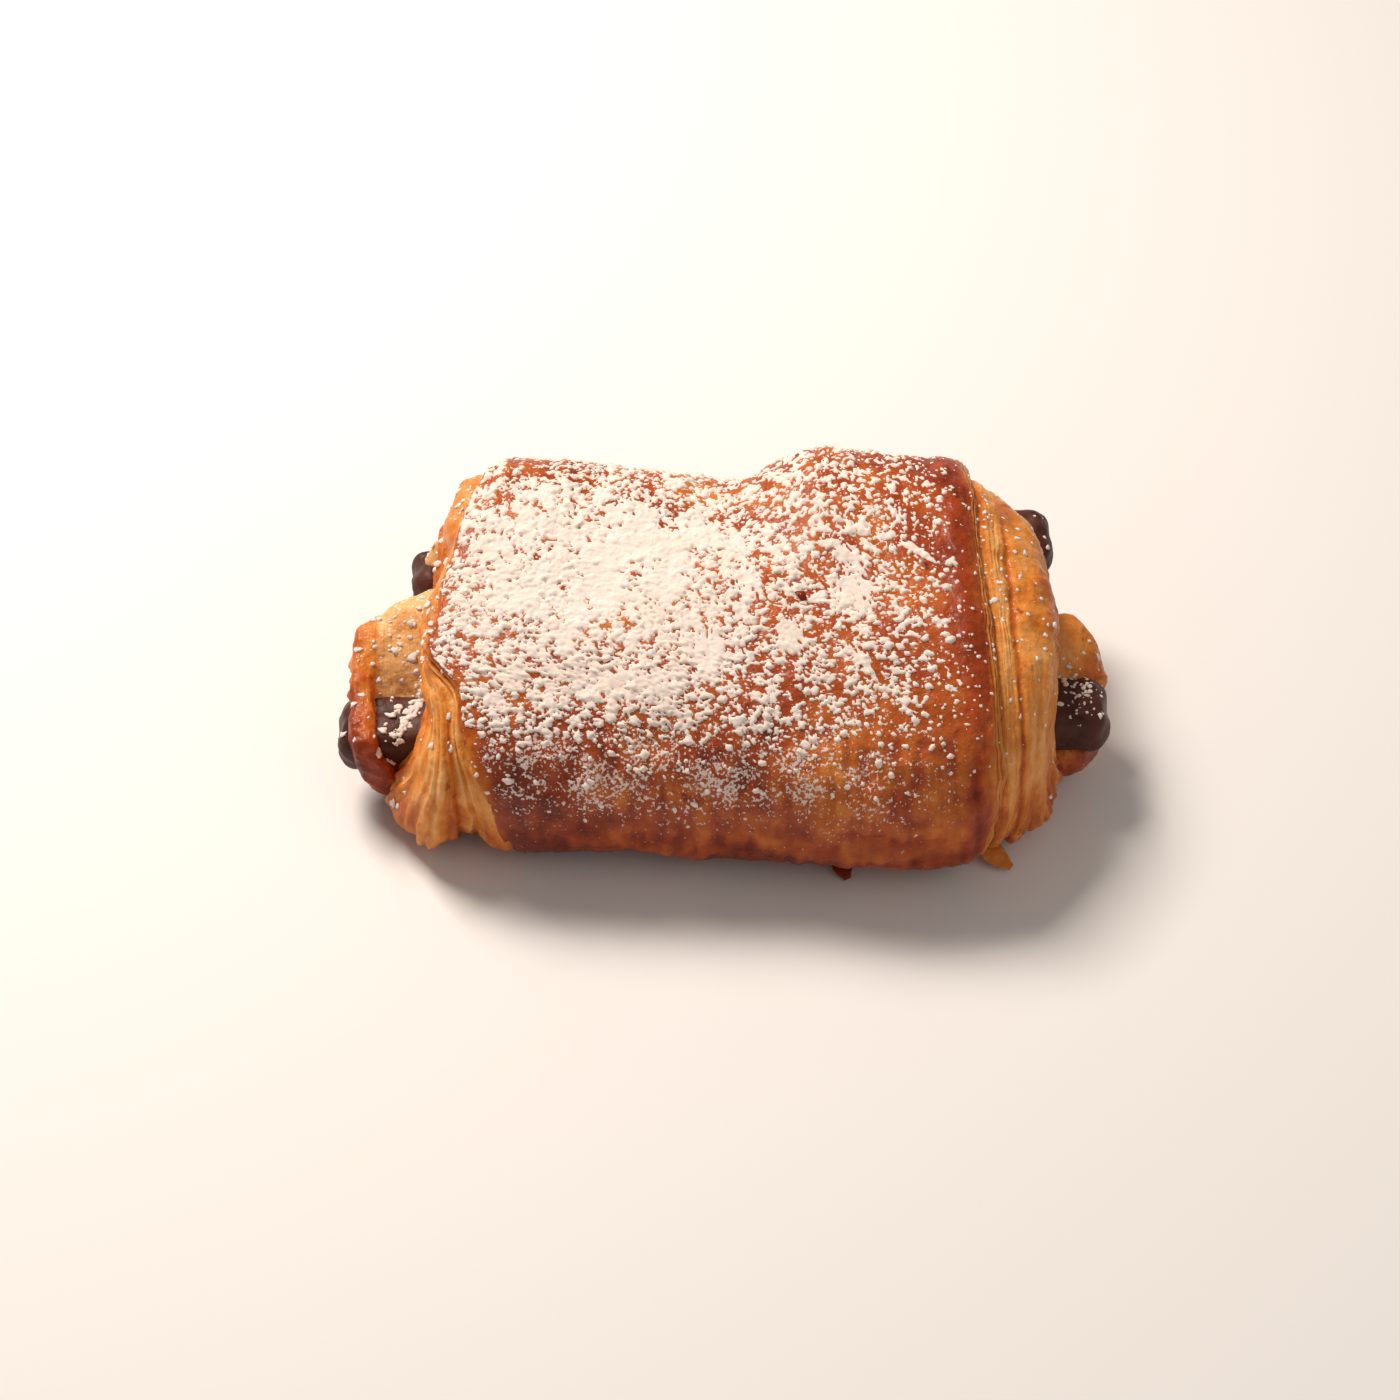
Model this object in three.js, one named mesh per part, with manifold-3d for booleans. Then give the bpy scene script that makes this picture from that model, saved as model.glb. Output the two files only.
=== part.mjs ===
// Pain au chocolat: one roll of laminated dough, baked around two sticks of dark chocolate
// and dusted with icing sugar. Millimetres, +Z up, X along the roll, -Y the front.
import * as THREE from "three";
import { mergeVertices } from "three/addons/utils/BufferGeometryUtils.js";
import Module from "manifold-3d";

const wasm = await Module();
wasm.setup();

// ---------------------------------------------------------------- driving dimensions

const GAP = 0.35; // clearance between touching pieces

// The roll's cross-section, about an axis at the height where it is widest.
const AXIS_Y = 1;
const AXIS_Z = 15;
const FRONT_DEPTH = 36.5; // from the axis to the front of the roll
const FRONT_FLARE = 0.05; // extra front depth for each millimetre towards the right end
const FRONT_BELLY = { x: 24, width: 15, height: 2.2 }; // bulge of the front, right of the middle
const FRONT_TUCK = { from: 34, to: 50, depth: 2.6 }; // the front draws in towards the right end
const REAR_DEPTH = 38.2; // from the axis to the back of the roll
const CROWN = 24.3; // from the axis up to the middle of the lid
const CROWN_RISE = 0.03; // lid height gained for each millimetre towards the right end
const LID_SLOPE = 0.13; // lid height gained for each millimetre towards the back
const UPPER_FRONT_SQUARENESS = 2.7; // exponent of the rounded square above the axis, at the front
const UPPER_REAR_SQUARENESS = 3.3; // the same at the back
const LOWER_SQUARENESS = 3.4; // and below the axis
// The lid's back edge dips in the middle of the roll and rises again right of it.
const BACK_EDGE = [
  { x: 2, width: 10, height: -2.9 },
  { x: -14, width: 12, height: -0.6 },
  { x: 18, width: 8, height: 2.6 },
  { x: 30, width: 8, height: 0.9 },
];

// Values around the cross-section, one for each eighth of a turn:
// back, back-top, top, front-top, front, front-bottom, bottom, back-bottom.
const RIGHT_END = {
  lidEdge: [43, 43.5, 44, 44.5, 46, 47, 44, 42],
  fullness: [2.3, 2.4, 1.8, 1.7, 2.0, 2.2, 2.3, 2.2],
  tip: 58,
};
const LEFT_END = {
  lidEdge: [-39, -40, -47.5, -44.5, -38, -38.5, -40, -39],
  fullness: [1.9, 1.9, 1.5, 1.8, 2.4, 3.0, 2.6, 1.9],
  tip: -56,
};

// A chocolate stick is a bar with rounded corners, from its left end to its right end.
const STICK_WIDTH = 12;
const STICK_HEIGHT = 9.5;
const STICK_CORNER = 3.2;
const STICK_END_ROUNDING = 1.6;
const FRONT_STICK = { left: [-66.6, -10.6, 13], right: [67.8, -8.2, 15] };
const REAR_STICK = { left: [-54.8, 23.0, 16.5], right: [60.4, 25.6, 23.5] };

// The inner fold of dough around each stick swells the roll's ends and shows as a short sleeve.
const SLEEVE_WALL = 3;
const SLEEVE_ROUNDING = 2.4;
const FRONT_SLEEVE = { from: -63.8, to: 64 };
const REAR_SLEEVE = { from: -52, to: 58.6 };
const SWELL = { height: 6, width: 14 };

// The icing sugar lies over the lid as a thin crust.
const SUGAR_THICKNESS = 0.7;
const SUGAR_MARGIN = 0.05; // share of the lid's length left bare at each edge
const SUGAR_ARC = { from: 0.19, to: 0.42 }; // share of a turn, back to front over the top

const AROUND = 48; // steps round the cross-section
const END_STEPS = 9; // rings on each rounded end
const LID_STEPS = 16; // rings along the lid

// ---------------------------------------------------------------- materials

const material = (color, roughness) =>
  new THREE.MeshStandardMaterial({ color, roughness, metalness: 0 });
const crustMaterial = material(0xb8641e, 0.42);
const chocolateMaterial = material(0x2f1812, 0.4);
const sugarMaterial = material(0xf4e6dc, 0.95);

// ---------------------------------------------------------------- shape functions

// Smooth periodic curve through eight values, one for each eighth of a turn.
function around(values, turn) {
  const n = values.length;
  const place = ((turn % 1) + 1) * n;
  const i = Math.floor(place);
  const t = place - i;
  const [a, b, c, d] = [-1, 0, 1, 2].map((k) => values[(i + k) % n]);
  return b + 0.5 * t * (c - a + t * (2 * a - 5 * b + 4 * c - d + t * (3 * (b - c) + d - a)));
}

// A cosine or sine bent towards a square: 2 is a circle, more is squarer.
const squared = (value, squareness) => Math.sign(value) * Math.abs(value) ** (2 / squareness);

// A bell-shaped bump at a station x along the roll.
const bell = (x, bump) => bump.height * Math.exp(-(((x - bump.x) / bump.width) ** 2));

const { smoothstep, lerp } = THREE.MathUtils;

// From the roll's axis to its front, for a station x along the roll.
const frontDepth = (x) =>
  FRONT_DEPTH + FRONT_FLARE * x + bell(x, FRONT_BELLY) -
  FRONT_TUCK.depth * smoothstep(x, FRONT_TUCK.from, FRONT_TUCK.to);

// A point on the roll's outer skin at a share of a turn, for a station x along the roll.
function skin(turn, x) {
  const angle = turn * 2 * Math.PI;
  const c = Math.cos(angle);
  const s = Math.sin(angle);
  const depth = c > 0 ? REAR_DEPTH : frontDepth(x);
  if (s <= 0) {
    return [AXIS_Y + depth * squared(c, LOWER_SQUARENESS), AXIS_Z + AXIS_Z * squared(s, LOWER_SQUARENESS)];
  }
  const squareness = lerp(UPPER_FRONT_SQUARENESS, UPPER_REAR_SQUARENESS, smoothstep(c, 0, 0.5));
  const y = AXIS_Y + depth * squared(c, squareness);
  const height = CROWN + CROWN_RISE * x + LID_SLOPE * (y - AXIS_Y);
  const back = smoothstep(c, -0.1, 0.75) * smoothstep(s, 0, 0.4);
  const rise = back * BACK_EDGE.reduce((sum, bump) => sum + bell(x, bump), 0);
  return [y + rise * c, AXIS_Z + height * squared(s, squareness) + rise * s];
}

// How far the dough around a stick swells out of the roll's end, at a place (y, z) of that end.
function swell(end, y, z) {
  const [front, rear] = [FRONT_STICK, REAR_STICK].map((stick) => {
    const [, stickY, stickZ] = end === RIGHT_END ? stick.right : stick.left;
    return Math.exp(-((y - stickY) ** 2 + (z - stickZ) ** 2) / SWELL.width ** 2);
  });
  return Math.sign(end.tip) * SWELL.height * (front + (end === RIGHT_END ? rear / 2 : 0));
}

// One ring of the rounded end: share 1 is the lid's edge and share 0 the tip.
function endPoint(end, turn, share) {
  const edge = around(end.lidEdge, turn);
  const fullness = around(end.fullness, turn);
  const reach = (1 - share ** fullness) ** (1 / fullness);
  const [skinY, skinZ] = skin(turn, edge);
  const y = AXIS_Y + (skinY - AXIS_Y) * share;
  const z = AXIS_Z + (skinZ - AXIS_Z) * share;
  return [edge + (end.tip - edge) * reach + swell(end, y, z) * reach, y, z];
}

// A point of the lid: share 0 is its left edge and share 1 its right edge.
function lidPoint(turn, share) {
  const left = around(LEFT_END.lidEdge, turn);
  const right = around(RIGHT_END.lidEdge, turn);
  const x = left + (right - left) * share;
  return [x, ...skin(turn, x)];
}

// ---------------------------------------------------------------- solids

function geometryOf(points, triangles) {
  const geometry = new THREE.BufferGeometry();
  geometry.setAttribute("position", new THREE.Float32BufferAttribute(points.flat(), 3));
  geometry.setIndex(triangles.flat());
  return geometry;
}

function solidOf(geometry) {
  const bare = geometry.clone();
  bare.deleteAttribute("normal");
  bare.deleteAttribute("uv");
  const merged = mergeVertices(bare, 1e-4);
  return new wasm.Manifold(
    new wasm.Mesh({
      numProp: 3,
      vertProperties: new Float32Array(merged.attributes.position.array),
      triVerts: new Uint32Array(merged.index.array),
    }),
  );
}

function geometryFrom(solid) {
  const { vertProperties, triVerts } = solid.getMesh();
  const geometry = new THREE.BufferGeometry();
  geometry.setAttribute("position", new THREE.BufferAttribute(vertProperties, 3));
  geometry.setIndex(new THREE.BufferAttribute(triVerts, 1));
  geometry.computeVertexNormals();
  return geometry;
}

// The whole roll as one closed skin: rings from the left tip, along the lid, to the right tip.
function rollGeometry() {
  const shares = Array.from({ length: END_STEPS }, (_, i) => Math.sin(((i + 1) / END_STEPS) * (Math.PI / 2)));
  const turns = Array.from({ length: AROUND }, (_, i) => i / AROUND);
  const rings = [
    ...shares.slice(0, -1).map((share) => turns.map((turn) => endPoint(LEFT_END, turn, share))),
    ...Array.from({ length: LID_STEPS + 1 }, (_, i) => turns.map((turn) => lidPoint(turn, i / LID_STEPS))),
    ...shares.slice(0, -1).reverse().map((share) => turns.map((turn) => endPoint(RIGHT_END, turn, share))),
  ];
  const points = [endPoint(LEFT_END, 0, 0), ...rings.flat(), endPoint(RIGHT_END, 0, 0)];
  const at = (ring, i) => 1 + ring * AROUND + (i % AROUND);
  const last = points.length - 1;
  const triangles = [];
  for (let i = 0; i < AROUND; i++) {
    triangles.push([0, at(0, i + 1), at(0, i)], [last, at(rings.length - 1, i), at(rings.length - 1, i + 1)]);
    for (let ring = 0; ring < rings.length - 1; ring++) {
      const [a, b, c, d] = [at(ring, i), at(ring, i + 1), at(ring + 1, i + 1), at(ring + 1, i)];
      triangles.push([a, b, c], [a, c, d]);
    }
  }
  return geometryOf(points, triangles);
}

// A bar with rounded corners along a stick's line, between two places on it.
function barGeometry(stick, grow, fromX, toX, rounding) {
  const [left, right] = [stick.left, stick.right].map((p) => new THREE.Vector3(...p));
  const along = right.clone().sub(left).normalize();
  const start = left.clone().addScaledVector(along, (fromX - left.x) / along.x);
  const length = (toX - fromX) / along.x;
  const [w, h] = [STICK_WIDTH / 2 + grow - rounding, STICK_HEIGHT / 2 + grow - rounding];
  const r = STICK_CORNER + grow - rounding;
  const outline = new THREE.Shape();
  outline.absarc(w - r, h - r, r, 0, Math.PI / 2);
  outline.absarc(r - w, h - r, r, Math.PI / 2, Math.PI);
  outline.absarc(r - w, r - h, r, Math.PI, 1.5 * Math.PI);
  outline.absarc(w - r, r - h, r, 1.5 * Math.PI, 2 * Math.PI);
  const geometry = new THREE.ExtrudeGeometry(outline, {
    depth: length - 2 * rounding,
    curveSegments: 4,
    steps: 1,
    bevelEnabled: rounding > 0,
    bevelThickness: rounding,
    bevelSize: rounding,
    bevelSegments: 3,
  });
  geometry.translate(0, 0, rounding);
  const across = new THREE.Vector3(0, 0, 1).cross(along).normalize();
  const up = along.clone().cross(across);
  geometry.applyMatrix4(new THREE.Matrix4().makeBasis(across, up, along).setPosition(start));
  return geometry;
}

const stickGeometry = (stick) =>
  barGeometry(stick, 0, stick.left[0], stick.right[0], STICK_END_ROUNDING);
const sleeveSolid = (stick, sleeve) =>
  solidOf(barGeometry(stick, SLEEVE_WALL, sleeve.from, sleeve.to, SLEEVE_ROUNDING));
const channelSolid = (stick) =>
  solidOf(barGeometry(stick, GAP, stick.left[0] - GAP, stick.right[0] + GAP, 0));

// The dough: the roll and the sleeves in one, flat underneath, with a channel for each stick.
function doughGeometry() {
  const underside = new THREE.BoxGeometry(200, 200, 40);
  underside.translate(0, 0, -20);
  let dough = solidOf(rollGeometry());
  dough = dough.add(sleeveSolid(FRONT_STICK, FRONT_SLEEVE));
  dough = dough.add(sleeveSolid(REAR_STICK, REAR_SLEEVE));
  dough = dough.subtract(channelSolid(FRONT_STICK));
  dough = dough.subtract(channelSolid(REAR_STICK));
  return geometryFrom(dough.subtract(solidOf(underside)));
}

// The sugar: a thin crust that follows the lid, a gap above it, thinning to its edges.
function sugarGeometry() {
  const across = LID_STEPS;
  const first = Math.round(SUGAR_ARC.from * AROUND);
  const steps = Math.round(SUGAR_ARC.to * AROUND) - first;
  const lifted = (i, j, lift) => {
    const turn = (first + j) / AROUND;
    const share = SUGAR_MARGIN + (1 - 2 * SUGAR_MARGIN) * (i / across);
    const here = new THREE.Vector3(...lidPoint(turn, share));
    const alongX = new THREE.Vector3(...lidPoint(turn, share + 0.01)).sub(here);
    const alongTurn = new THREE.Vector3(...lidPoint(turn + 0.004, share)).sub(here);
    return here.addScaledVector(alongTurn.cross(alongX).normalize(), lift).toArray();
  };
  const points = [];
  for (const lift of [GAP + 0.15, GAP + 0.15 + SUGAR_THICKNESS])
    for (let i = 0; i <= across; i++) for (let j = 0; j <= steps; j++) points.push(lifted(i, j, lift));
  const at = (layer, i, j) => (layer * (across + 1) + i) * (steps + 1) + j;
  const triangles = [];
  const quad = (a, b, c, d) => triangles.push([a, c, b], [a, d, c]);
  for (let i = 0; i < across; i++)
    for (let j = 0; j < steps; j++) {
      quad(at(1, i, j), at(1, i + 1, j), at(1, i + 1, j + 1), at(1, i, j + 1));
      quad(at(0, i, j), at(0, i, j + 1), at(0, i + 1, j + 1), at(0, i + 1, j));
    }
  for (let i = 0; i < across; i++) {
    quad(at(0, i, 0), at(0, i + 1, 0), at(1, i + 1, 0), at(1, i, 0));
    quad(at(0, i + 1, steps), at(0, i, steps), at(1, i, steps), at(1, i + 1, steps));
  }
  for (let j = 0; j < steps; j++) {
    quad(at(0, 0, j + 1), at(0, 0, j), at(1, 0, j), at(1, 0, j + 1));
    quad(at(0, across, j), at(0, across, j + 1), at(1, across, j + 1), at(1, across, j));
  }
  return geometryOf(points, triangles);
}

// ---------------------------------------------------------------- assembly

function named(name, geometry, finish) {
  const mesh = new THREE.Mesh(geometry, finish);
  mesh.name = name;
  return mesh;
}

const pastry = new THREE.Group();
pastry.add(
  named("dough_roll", doughGeometry(), crustMaterial),
  named("chocolate_stick_front", stickGeometry(FRONT_STICK), chocolateMaterial),
  named("chocolate_stick_rear", stickGeometry(REAR_STICK), chocolateMaterial),
  named("icing_sugar", sugarGeometry(), sugarMaterial),
);

// The origin is the middle of the underside.
const bounds = new THREE.Box3().setFromObject(pastry);
const middle = bounds.getCenter(new THREE.Vector3());
pastry.position.set(-middle.x, -middle.y, -bounds.min.z);

export default pastry;
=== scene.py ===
"""Pain au chocolat: laminated dough rolled round two chocolate sticks and dusted with icing sugar.

Lengths are worked out in millimetres on the roll's own axes: X along the roll, Y towards its back,
Z up, with the roll resting on Z = 0. PLACE turns them into the frame's metres.
"""

import math
from types import SimpleNamespace

import bpy
import numpy as np
from bpy.props import FloatProperty, FloatVectorProperty, IntProperty, PointerProperty
from mathutils import Matrix, Vector
from mathutils.bvhtree import BVHTree


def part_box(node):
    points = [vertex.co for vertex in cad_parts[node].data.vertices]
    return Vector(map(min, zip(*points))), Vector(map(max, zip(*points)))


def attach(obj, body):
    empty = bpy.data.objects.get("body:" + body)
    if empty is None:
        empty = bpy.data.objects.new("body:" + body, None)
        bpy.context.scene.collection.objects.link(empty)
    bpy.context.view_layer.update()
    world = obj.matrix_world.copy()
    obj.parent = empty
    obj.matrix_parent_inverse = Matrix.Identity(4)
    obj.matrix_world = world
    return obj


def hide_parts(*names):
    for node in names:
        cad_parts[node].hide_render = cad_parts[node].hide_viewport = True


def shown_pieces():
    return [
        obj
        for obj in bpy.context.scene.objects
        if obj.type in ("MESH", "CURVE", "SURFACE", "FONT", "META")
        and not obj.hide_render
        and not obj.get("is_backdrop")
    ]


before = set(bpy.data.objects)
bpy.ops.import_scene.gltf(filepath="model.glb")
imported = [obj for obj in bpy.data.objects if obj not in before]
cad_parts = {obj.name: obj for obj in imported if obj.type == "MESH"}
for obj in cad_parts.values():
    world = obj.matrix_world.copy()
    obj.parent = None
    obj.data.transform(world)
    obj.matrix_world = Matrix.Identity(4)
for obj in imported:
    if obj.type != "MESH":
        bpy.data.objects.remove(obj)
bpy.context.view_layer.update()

bl_info = {
    "name": "Pain au chocolat",
    "version": (1, 0, 0),
    "blender": (4, 5, 0),
    "location": "3D View > Sidebar > Bakery",
    "description": "Builds a sugared pain au chocolat piece by piece",
    "category": "Add Mesh",
}

MM = 0.001

# ------------------------------------------------------------------ sizes, in millimetres

AXIS = np.array([0.0, 1.0, 15.0])  # the roll's axis, at the height where the roll is widest

# The skin round the axis is a superellipse, given by its depths, its height and its powers. Its
# front flares to the right, bulges by a bell (height, X and width) and draws in between two X.
FRONT_DEPTH = 35.9
FRONT_FLARE = 0.05
FRONT_BELLY = (2.2, 24, 15)
FRONT_TUCK = (2.6, 34, 50)
BACK_DEPTH = 37.6
TOP_HEIGHT = 24.3
TOP_RISE_RIGHT = 0.03
TOP_RISE_BACK = 0.13
FRONT_POWER = 2.7
BACK_POWER = 3.3
FOOT_POWER = 3.4
# Bells along X by which the lid sags at its back: depth, X and width. Negative ones are humps.
BACK_SAGS = ((2.9, 2, 10), (0.6, -14, 12), (-2.6, 18, 8), (-0.9, 30, 8), (-1.7, -39, 10))

# Each chocolate stick runs from its left end to its right end.
FRONT_STICK = ((-66.6, -10.6, 13.0), (67.8, -8.2, 15.0))
REAR_STICK = ((-54.8, 23.0, 16.5), (60.4, 25.6, 23.5))
STICK_POWER = 3.6  # of the superellipse that is a stick's section
STICK_CAP = 3.6  # radius of the rounds that close its ends

# The lid is the outermost wrap. Its two edges wander in X with the direction round the axis,
# in degrees: 0 is the back, 90 the top, 180 the front and 270 the bottom.
LID_LEFT_EDGE = (
    (0, -38), (32, -37.2), (45, -41.2), (76, -46.7), (105, -48.6), (124, -49.4),
    (138, -44.8), (150, -44), (160, -43), (171, -40.8), (185, -38.4), (197, -36.8), (230, -37),
    (270, -40), (320, -40),
)
LID_RIGHT_EDGE = (
    (0, 40.5), (35, 40.9), (90, 41.6), (140, 42.3), (165, 42.6), (180, 42.2), (195, 40.4),
    (215, 38.3), (240, 38.3), (270, 39.5), (320, 40),
)
# Each edge ends in a rim that turns in and under by these steps along X and inwards.
LEFT_RIM = ((5, 16), (2.5, 9), (0.6, 5), (-0.5, 3.2), (-0.9, 1.9), (-0.7, 0.9), (-0.2, 0.25))
RIGHT_RIM = (
    (0.3, 0.05), (1.2, 0.35), (2.2, 0.95), (3.1, 1.7), (3.7, 2.7), (3.4, 3.9), (1, 6.5), (-3, 16),
)
LEFT_RIM_ROWS = 22
RIGHT_RIM_ROWS = 36

# Cages of the folds that show past the lid: for each direction round an axis, pairs of
# X and radius from the place where the fold comes out of the lid to the middle of its end.
LEFT_WRAP = {
    0: ((-40, 36.4), (-42, 35.6), (-44.5, 34.2), (-47, 31.8),
        (-49, 28.6), (-50.5, 24), (-51, 17), (-51, 8)),
    20: ((-40, 37.4), (-42, 36.8), (-44, 35.4), (-46, 33.2),
        (-48, 29.8), (-49.5, 25), (-50.5, 18), (-50.5, 9)),
    40: ((-42.4, 35.4), (-44.1, 34.6), (-45.8, 33), (-47.2, 30.6),
        (-48.4, 27.6), (-49.3, 23.5), (-50, 17), (-50, 8)),
    60: ((-45, 27), (-46, 25.8), (-46.8, 24.3), (-47.5, 22.5),
        (-48, 20), (-48.5, 16), (-49, 12), (-49, 6)),
    90: ((-48, 21.5), (-48.6, 20.5), (-49.3, 19.3), (-50, 18),
        (-51, 16.5), (-52, 14), (-52, 10), (-51, 5)),
    108: ((-49.4, 21.3), (-49.8, 20.4), (-50.2, 19.3), (-50.7, 17.9),
        (-51.2, 16), (-51.6, 13.4), (-51.8, 10), (-51, 5)),
    126: ((-49.9, 22.3), (-50.2, 21.5), (-50.5, 20.6), (-50.9, 19.3),
        (-51.2, 17), (-51.5, 14), (-51.6, 10), (-51, 5)),
    140: ((-44.8, 26), (-46.2, 25.3), (-47.4, 25), (-48.6, 24),
        (-49.8, 21.8), (-51, 18), (-51.5, 13), (-51, 6)),
    155: ((-44.4, 29.5), (-45.6, 28.6), (-46.8, 28.5), (-48, 27.5),
        (-49.2, 25), (-50.2, 20.5), (-50.4, 14.5), (-50, 7)),
    170: ((-41.8, 32.5), (-44, 30.5), (-46, 31), (-48.3, 30.3),
        (-50.4, 28), (-52.2, 23.5), (-52.6, 17), (-52, 8)),
    185: ((-39.6, 33), (-42.8, 30.2), (-45.8, 31), (-49.3, 31),
        (-52, 29), (-54.4, 24.5), (-54.9, 18), (-54.2, 9)),
    200: ((-39.5, 31.8), (-43, 28.8), (-46, 30.3), (-50, 31.3),
        (-53, 30), (-57.5, 25.5), (-58.5, 18), (-58, 9)),
    215: ((-39, 24), (-42.8, 22.5), (-46, 23.6), (-50, 24),
        (-53.5, 23), (-57.5, 20), (-58.5, 15), (-58, 7)),
    235: ((-39, 18), (-42.5, 17.5), (-46, 17.8), (-50, 17.8),
        (-53.5, 17), (-57, 15), (-58, 11), (-57, 5)),
    270: ((-40, 14.6), (-43, 14.6), (-46, 14.6), (-49, 14.5),
        (-52, 14), (-54.5, 12.5), (-55, 9), (-54.5, 4.5)),
    300: ((-41, 16.6), (-43, 16.3), (-45, 16), (-47, 15.5),
        (-49, 14.5), (-50.5, 13), (-51, 10), (-51, 5)),
    330: ((-41, 27.5), (-43, 27), (-45, 26), (-47, 24.5),
        (-49, 22.5), (-50.5, 19), (-51, 14), (-51, 7)),
}
RIGHT_WRAP = {
    0: ((44.5, 34.8), (48, 33), (51.5, 30.5), (54.8, 27.5), (56.8, 24), (57.4, 17.5), (57, 9)),
    20: ((44.8, 36.2), (48, 34), (51.2, 31.8), (54.4, 29), (56.6, 25), (57.2, 18.5), (56.8, 9)),
    40: ((45.2, 34.6), (48.2, 32.6), (51.2, 30.9), (54.6, 27.8), (57, 23), (57.6, 16.5), (57, 8)),
    60: ((45.5, 28.6), (48.6, 27), (51.8, 25.3), (55, 22.9), (57.3, 19.6), (57.9, 13.8), (57.2, 7)),
    80: ((45.5, 24), (48.6, 23), (52, 21.8), (55.3, 20.2), (57.8, 17.3), (58.3, 12.2), (57.6, 6)),
    100: ((45.5, 22.5), (48.6, 21.8), (52, 20.8), (55.2, 19.3), (57.6, 16.4), (58, 11.7), (57.3, 6)),
    120: ((45.7, 24), (48.7, 23.3), (52, 22), (55.2, 20.2), (57.4, 17), (57.8, 11.7), (57, 6)),
    140: ((46, 27.4), (49, 26.3), (52.1, 24.7), (55, 22.2), (56.8, 18.6), (57, 12.8), (56.4, 7)),
    160: ((46.4, 31.9), (49.3, 30.2), (52.2, 27.7), (54.9, 24.4), (56.6, 19.9), (56.8, 13.9), (56.2, 7)),
    180: ((47, 33.3), (49.6, 31.3), (52.2, 28.7), (54.8, 25.3), (57, 20.8), (57.4, 15), (56.6, 7)),
    200: ((45, 32.3), (48, 32), (51.2, 31), (55, 28.2), (58.2, 24), (58.8, 16), (58, 7)),
    220: ((44, 22.8), (47, 22.5), (50.5, 22), (54.5, 21), (58, 18.5), (58.8, 13), (58.2, 6)),
    245: ((44, 16), (47.5, 15.8), (51.5, 15.4), (55.5, 14.6), (58, 12.8), (58.5, 9.5), (58, 5)),
    270: ((44, 14.6), (48, 14.4), (52, 14), (56, 13), (57.5, 11.5), (58, 8.5), (57.5, 4)),
    300: ((44.5, 16.5), (48.5, 16), (52.5, 15.3), (55.5, 14.2), (57.5, 12.3), (58, 9), (57.5, 4)),
    330: ((45, 27), (49, 26), (52.5, 24.5), (55, 22.5), (57, 19.5), (57.8, 14), (57.5, 7)),
}
# The innermost fold at each end wraps the front stick and leaves a window where it shows.
LEFT_CORE_AXIS = np.array([0.0, -8.0, 12.0])
LEFT_CORE_X = (-50, -54, -57.2, -59.6, -61, -63.3, -64.3)
LEFT_CORE = {
    0: (18, 17, 15.5, 14, 13.3, 11.5, 8.5),
    25: (22, 21, 19.5, 17.5, 16.5, 14, 10),
    42: (24, 22.5, 20.5, 19, 18.3, 16.8, 12.5),
    53: (19, 15.5, 13.5, 13.2, 13.6, 13.8, 11),
    62: (11, 8.2, 8, 8.6, 10.6, 11.4, 9.5),
    75: (7, 5, 5, 5.6, 8.8, 9.4, 7.8),
    95: (5.5, 4.2, 4.2, 4.8, 8, 8.3, 7),
    120: (5, 4, 4, 4.8, 8.4, 8.6, 7),
    146: (4, 4, 4, 4.8, 10.8, 11, 9),
    180: (4.5, 4.5, 4.5, 5, 10.6, 10.6, 9),
    203: (6, 6, 6, 7, 11.2, 11, 9),
    216: (10.5, 10.5, 10.5, 10.8, 11.6, 11, 9),
    240: (12.3, 12.3, 12.2, 12.2, 12, 11, 8.5),
    270: (11.9, 11.9, 11.9, 11.7, 11.3, 10, 7.5),
    300: (13, 13, 13, 12.5, 12, 10, 7.5),
    330: (15, 15, 14.5, 13.5, 12.5, 10.5, 8),
}
# How much further in than the stations the strap across the stick reaches, by direction.
LEFT_STRAP = (
    (0, 0.6), (50, 0.4), (90, 0.5), (130, 0.9), (165, 1.8), (200, 3.6), (230, 2.4), (300, 0.5),
)
# How far the outer edge of that strap draws in, by direction.
LEFT_TUCK = ((0, 0), (120, 0), (160, 0.3), (185, 1.4), (210, 2.8), (235, 3.4), (270, 3), (320, 1))
# The same for the right end, where the fold stops short of the stick's end over and before it.
RIGHT_TUCK = (
    (0, 0), (40, 0), (58, -2.5), (75, -6), (110, -7), (180, -7), (200, -3.5), (225, -0.5), (300, 0),
)
RIGHT_CORE_AXIS = np.array([0.0, -6.0, 13.0])
RIGHT_CORE_X = (52, 56, 60, 62.8, 65, 66.5, 67.6)
RIGHT_CORE = {
    0: (14, 14, 13, 11.5, 9.5, 7.5, 4.5),
    25: (16.5, 16.5, 16.2, 15, 12.6, 9.8, 5.5),
    42: (17, 17, 17, 16.4, 14.6, 11.8, 6.8),
    53: (16, 14.2, 12.4, 11.8, 10.6, 9.2, 6.2),
    62: (12, 9, 7.9, 7.8, 7.8, 7.6, 5.4),
    75: (9, 5.6, 4.8, 4.6, 4.6, 4.4, 3.6),
    110: (7, 4.4, 4, 4, 4, 4, 3.5),
    150: (6, 4, 4, 4, 4, 4, 3.5),
    188: (7, 5, 5, 5, 5, 5, 3.5),
    203: (10, 9.4, 9.4, 9.3, 8.8, 7.4, 4.5),
    220: (11.8, 11.4, 11.2, 10.6, 9.4, 7.6, 4.5),
    238: (12.6, 12.4, 11.8, 10.8, 9.2, 7.6, 4.5),
    270: (12.6, 12.3, 11.4, 9.8, 8, 6.5, 4),
    300: (13, 13, 12, 10, 8, 6.5, 4),
    330: (14, 13.5, 12.5, 11, 9, 7, 4.5),
}

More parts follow.
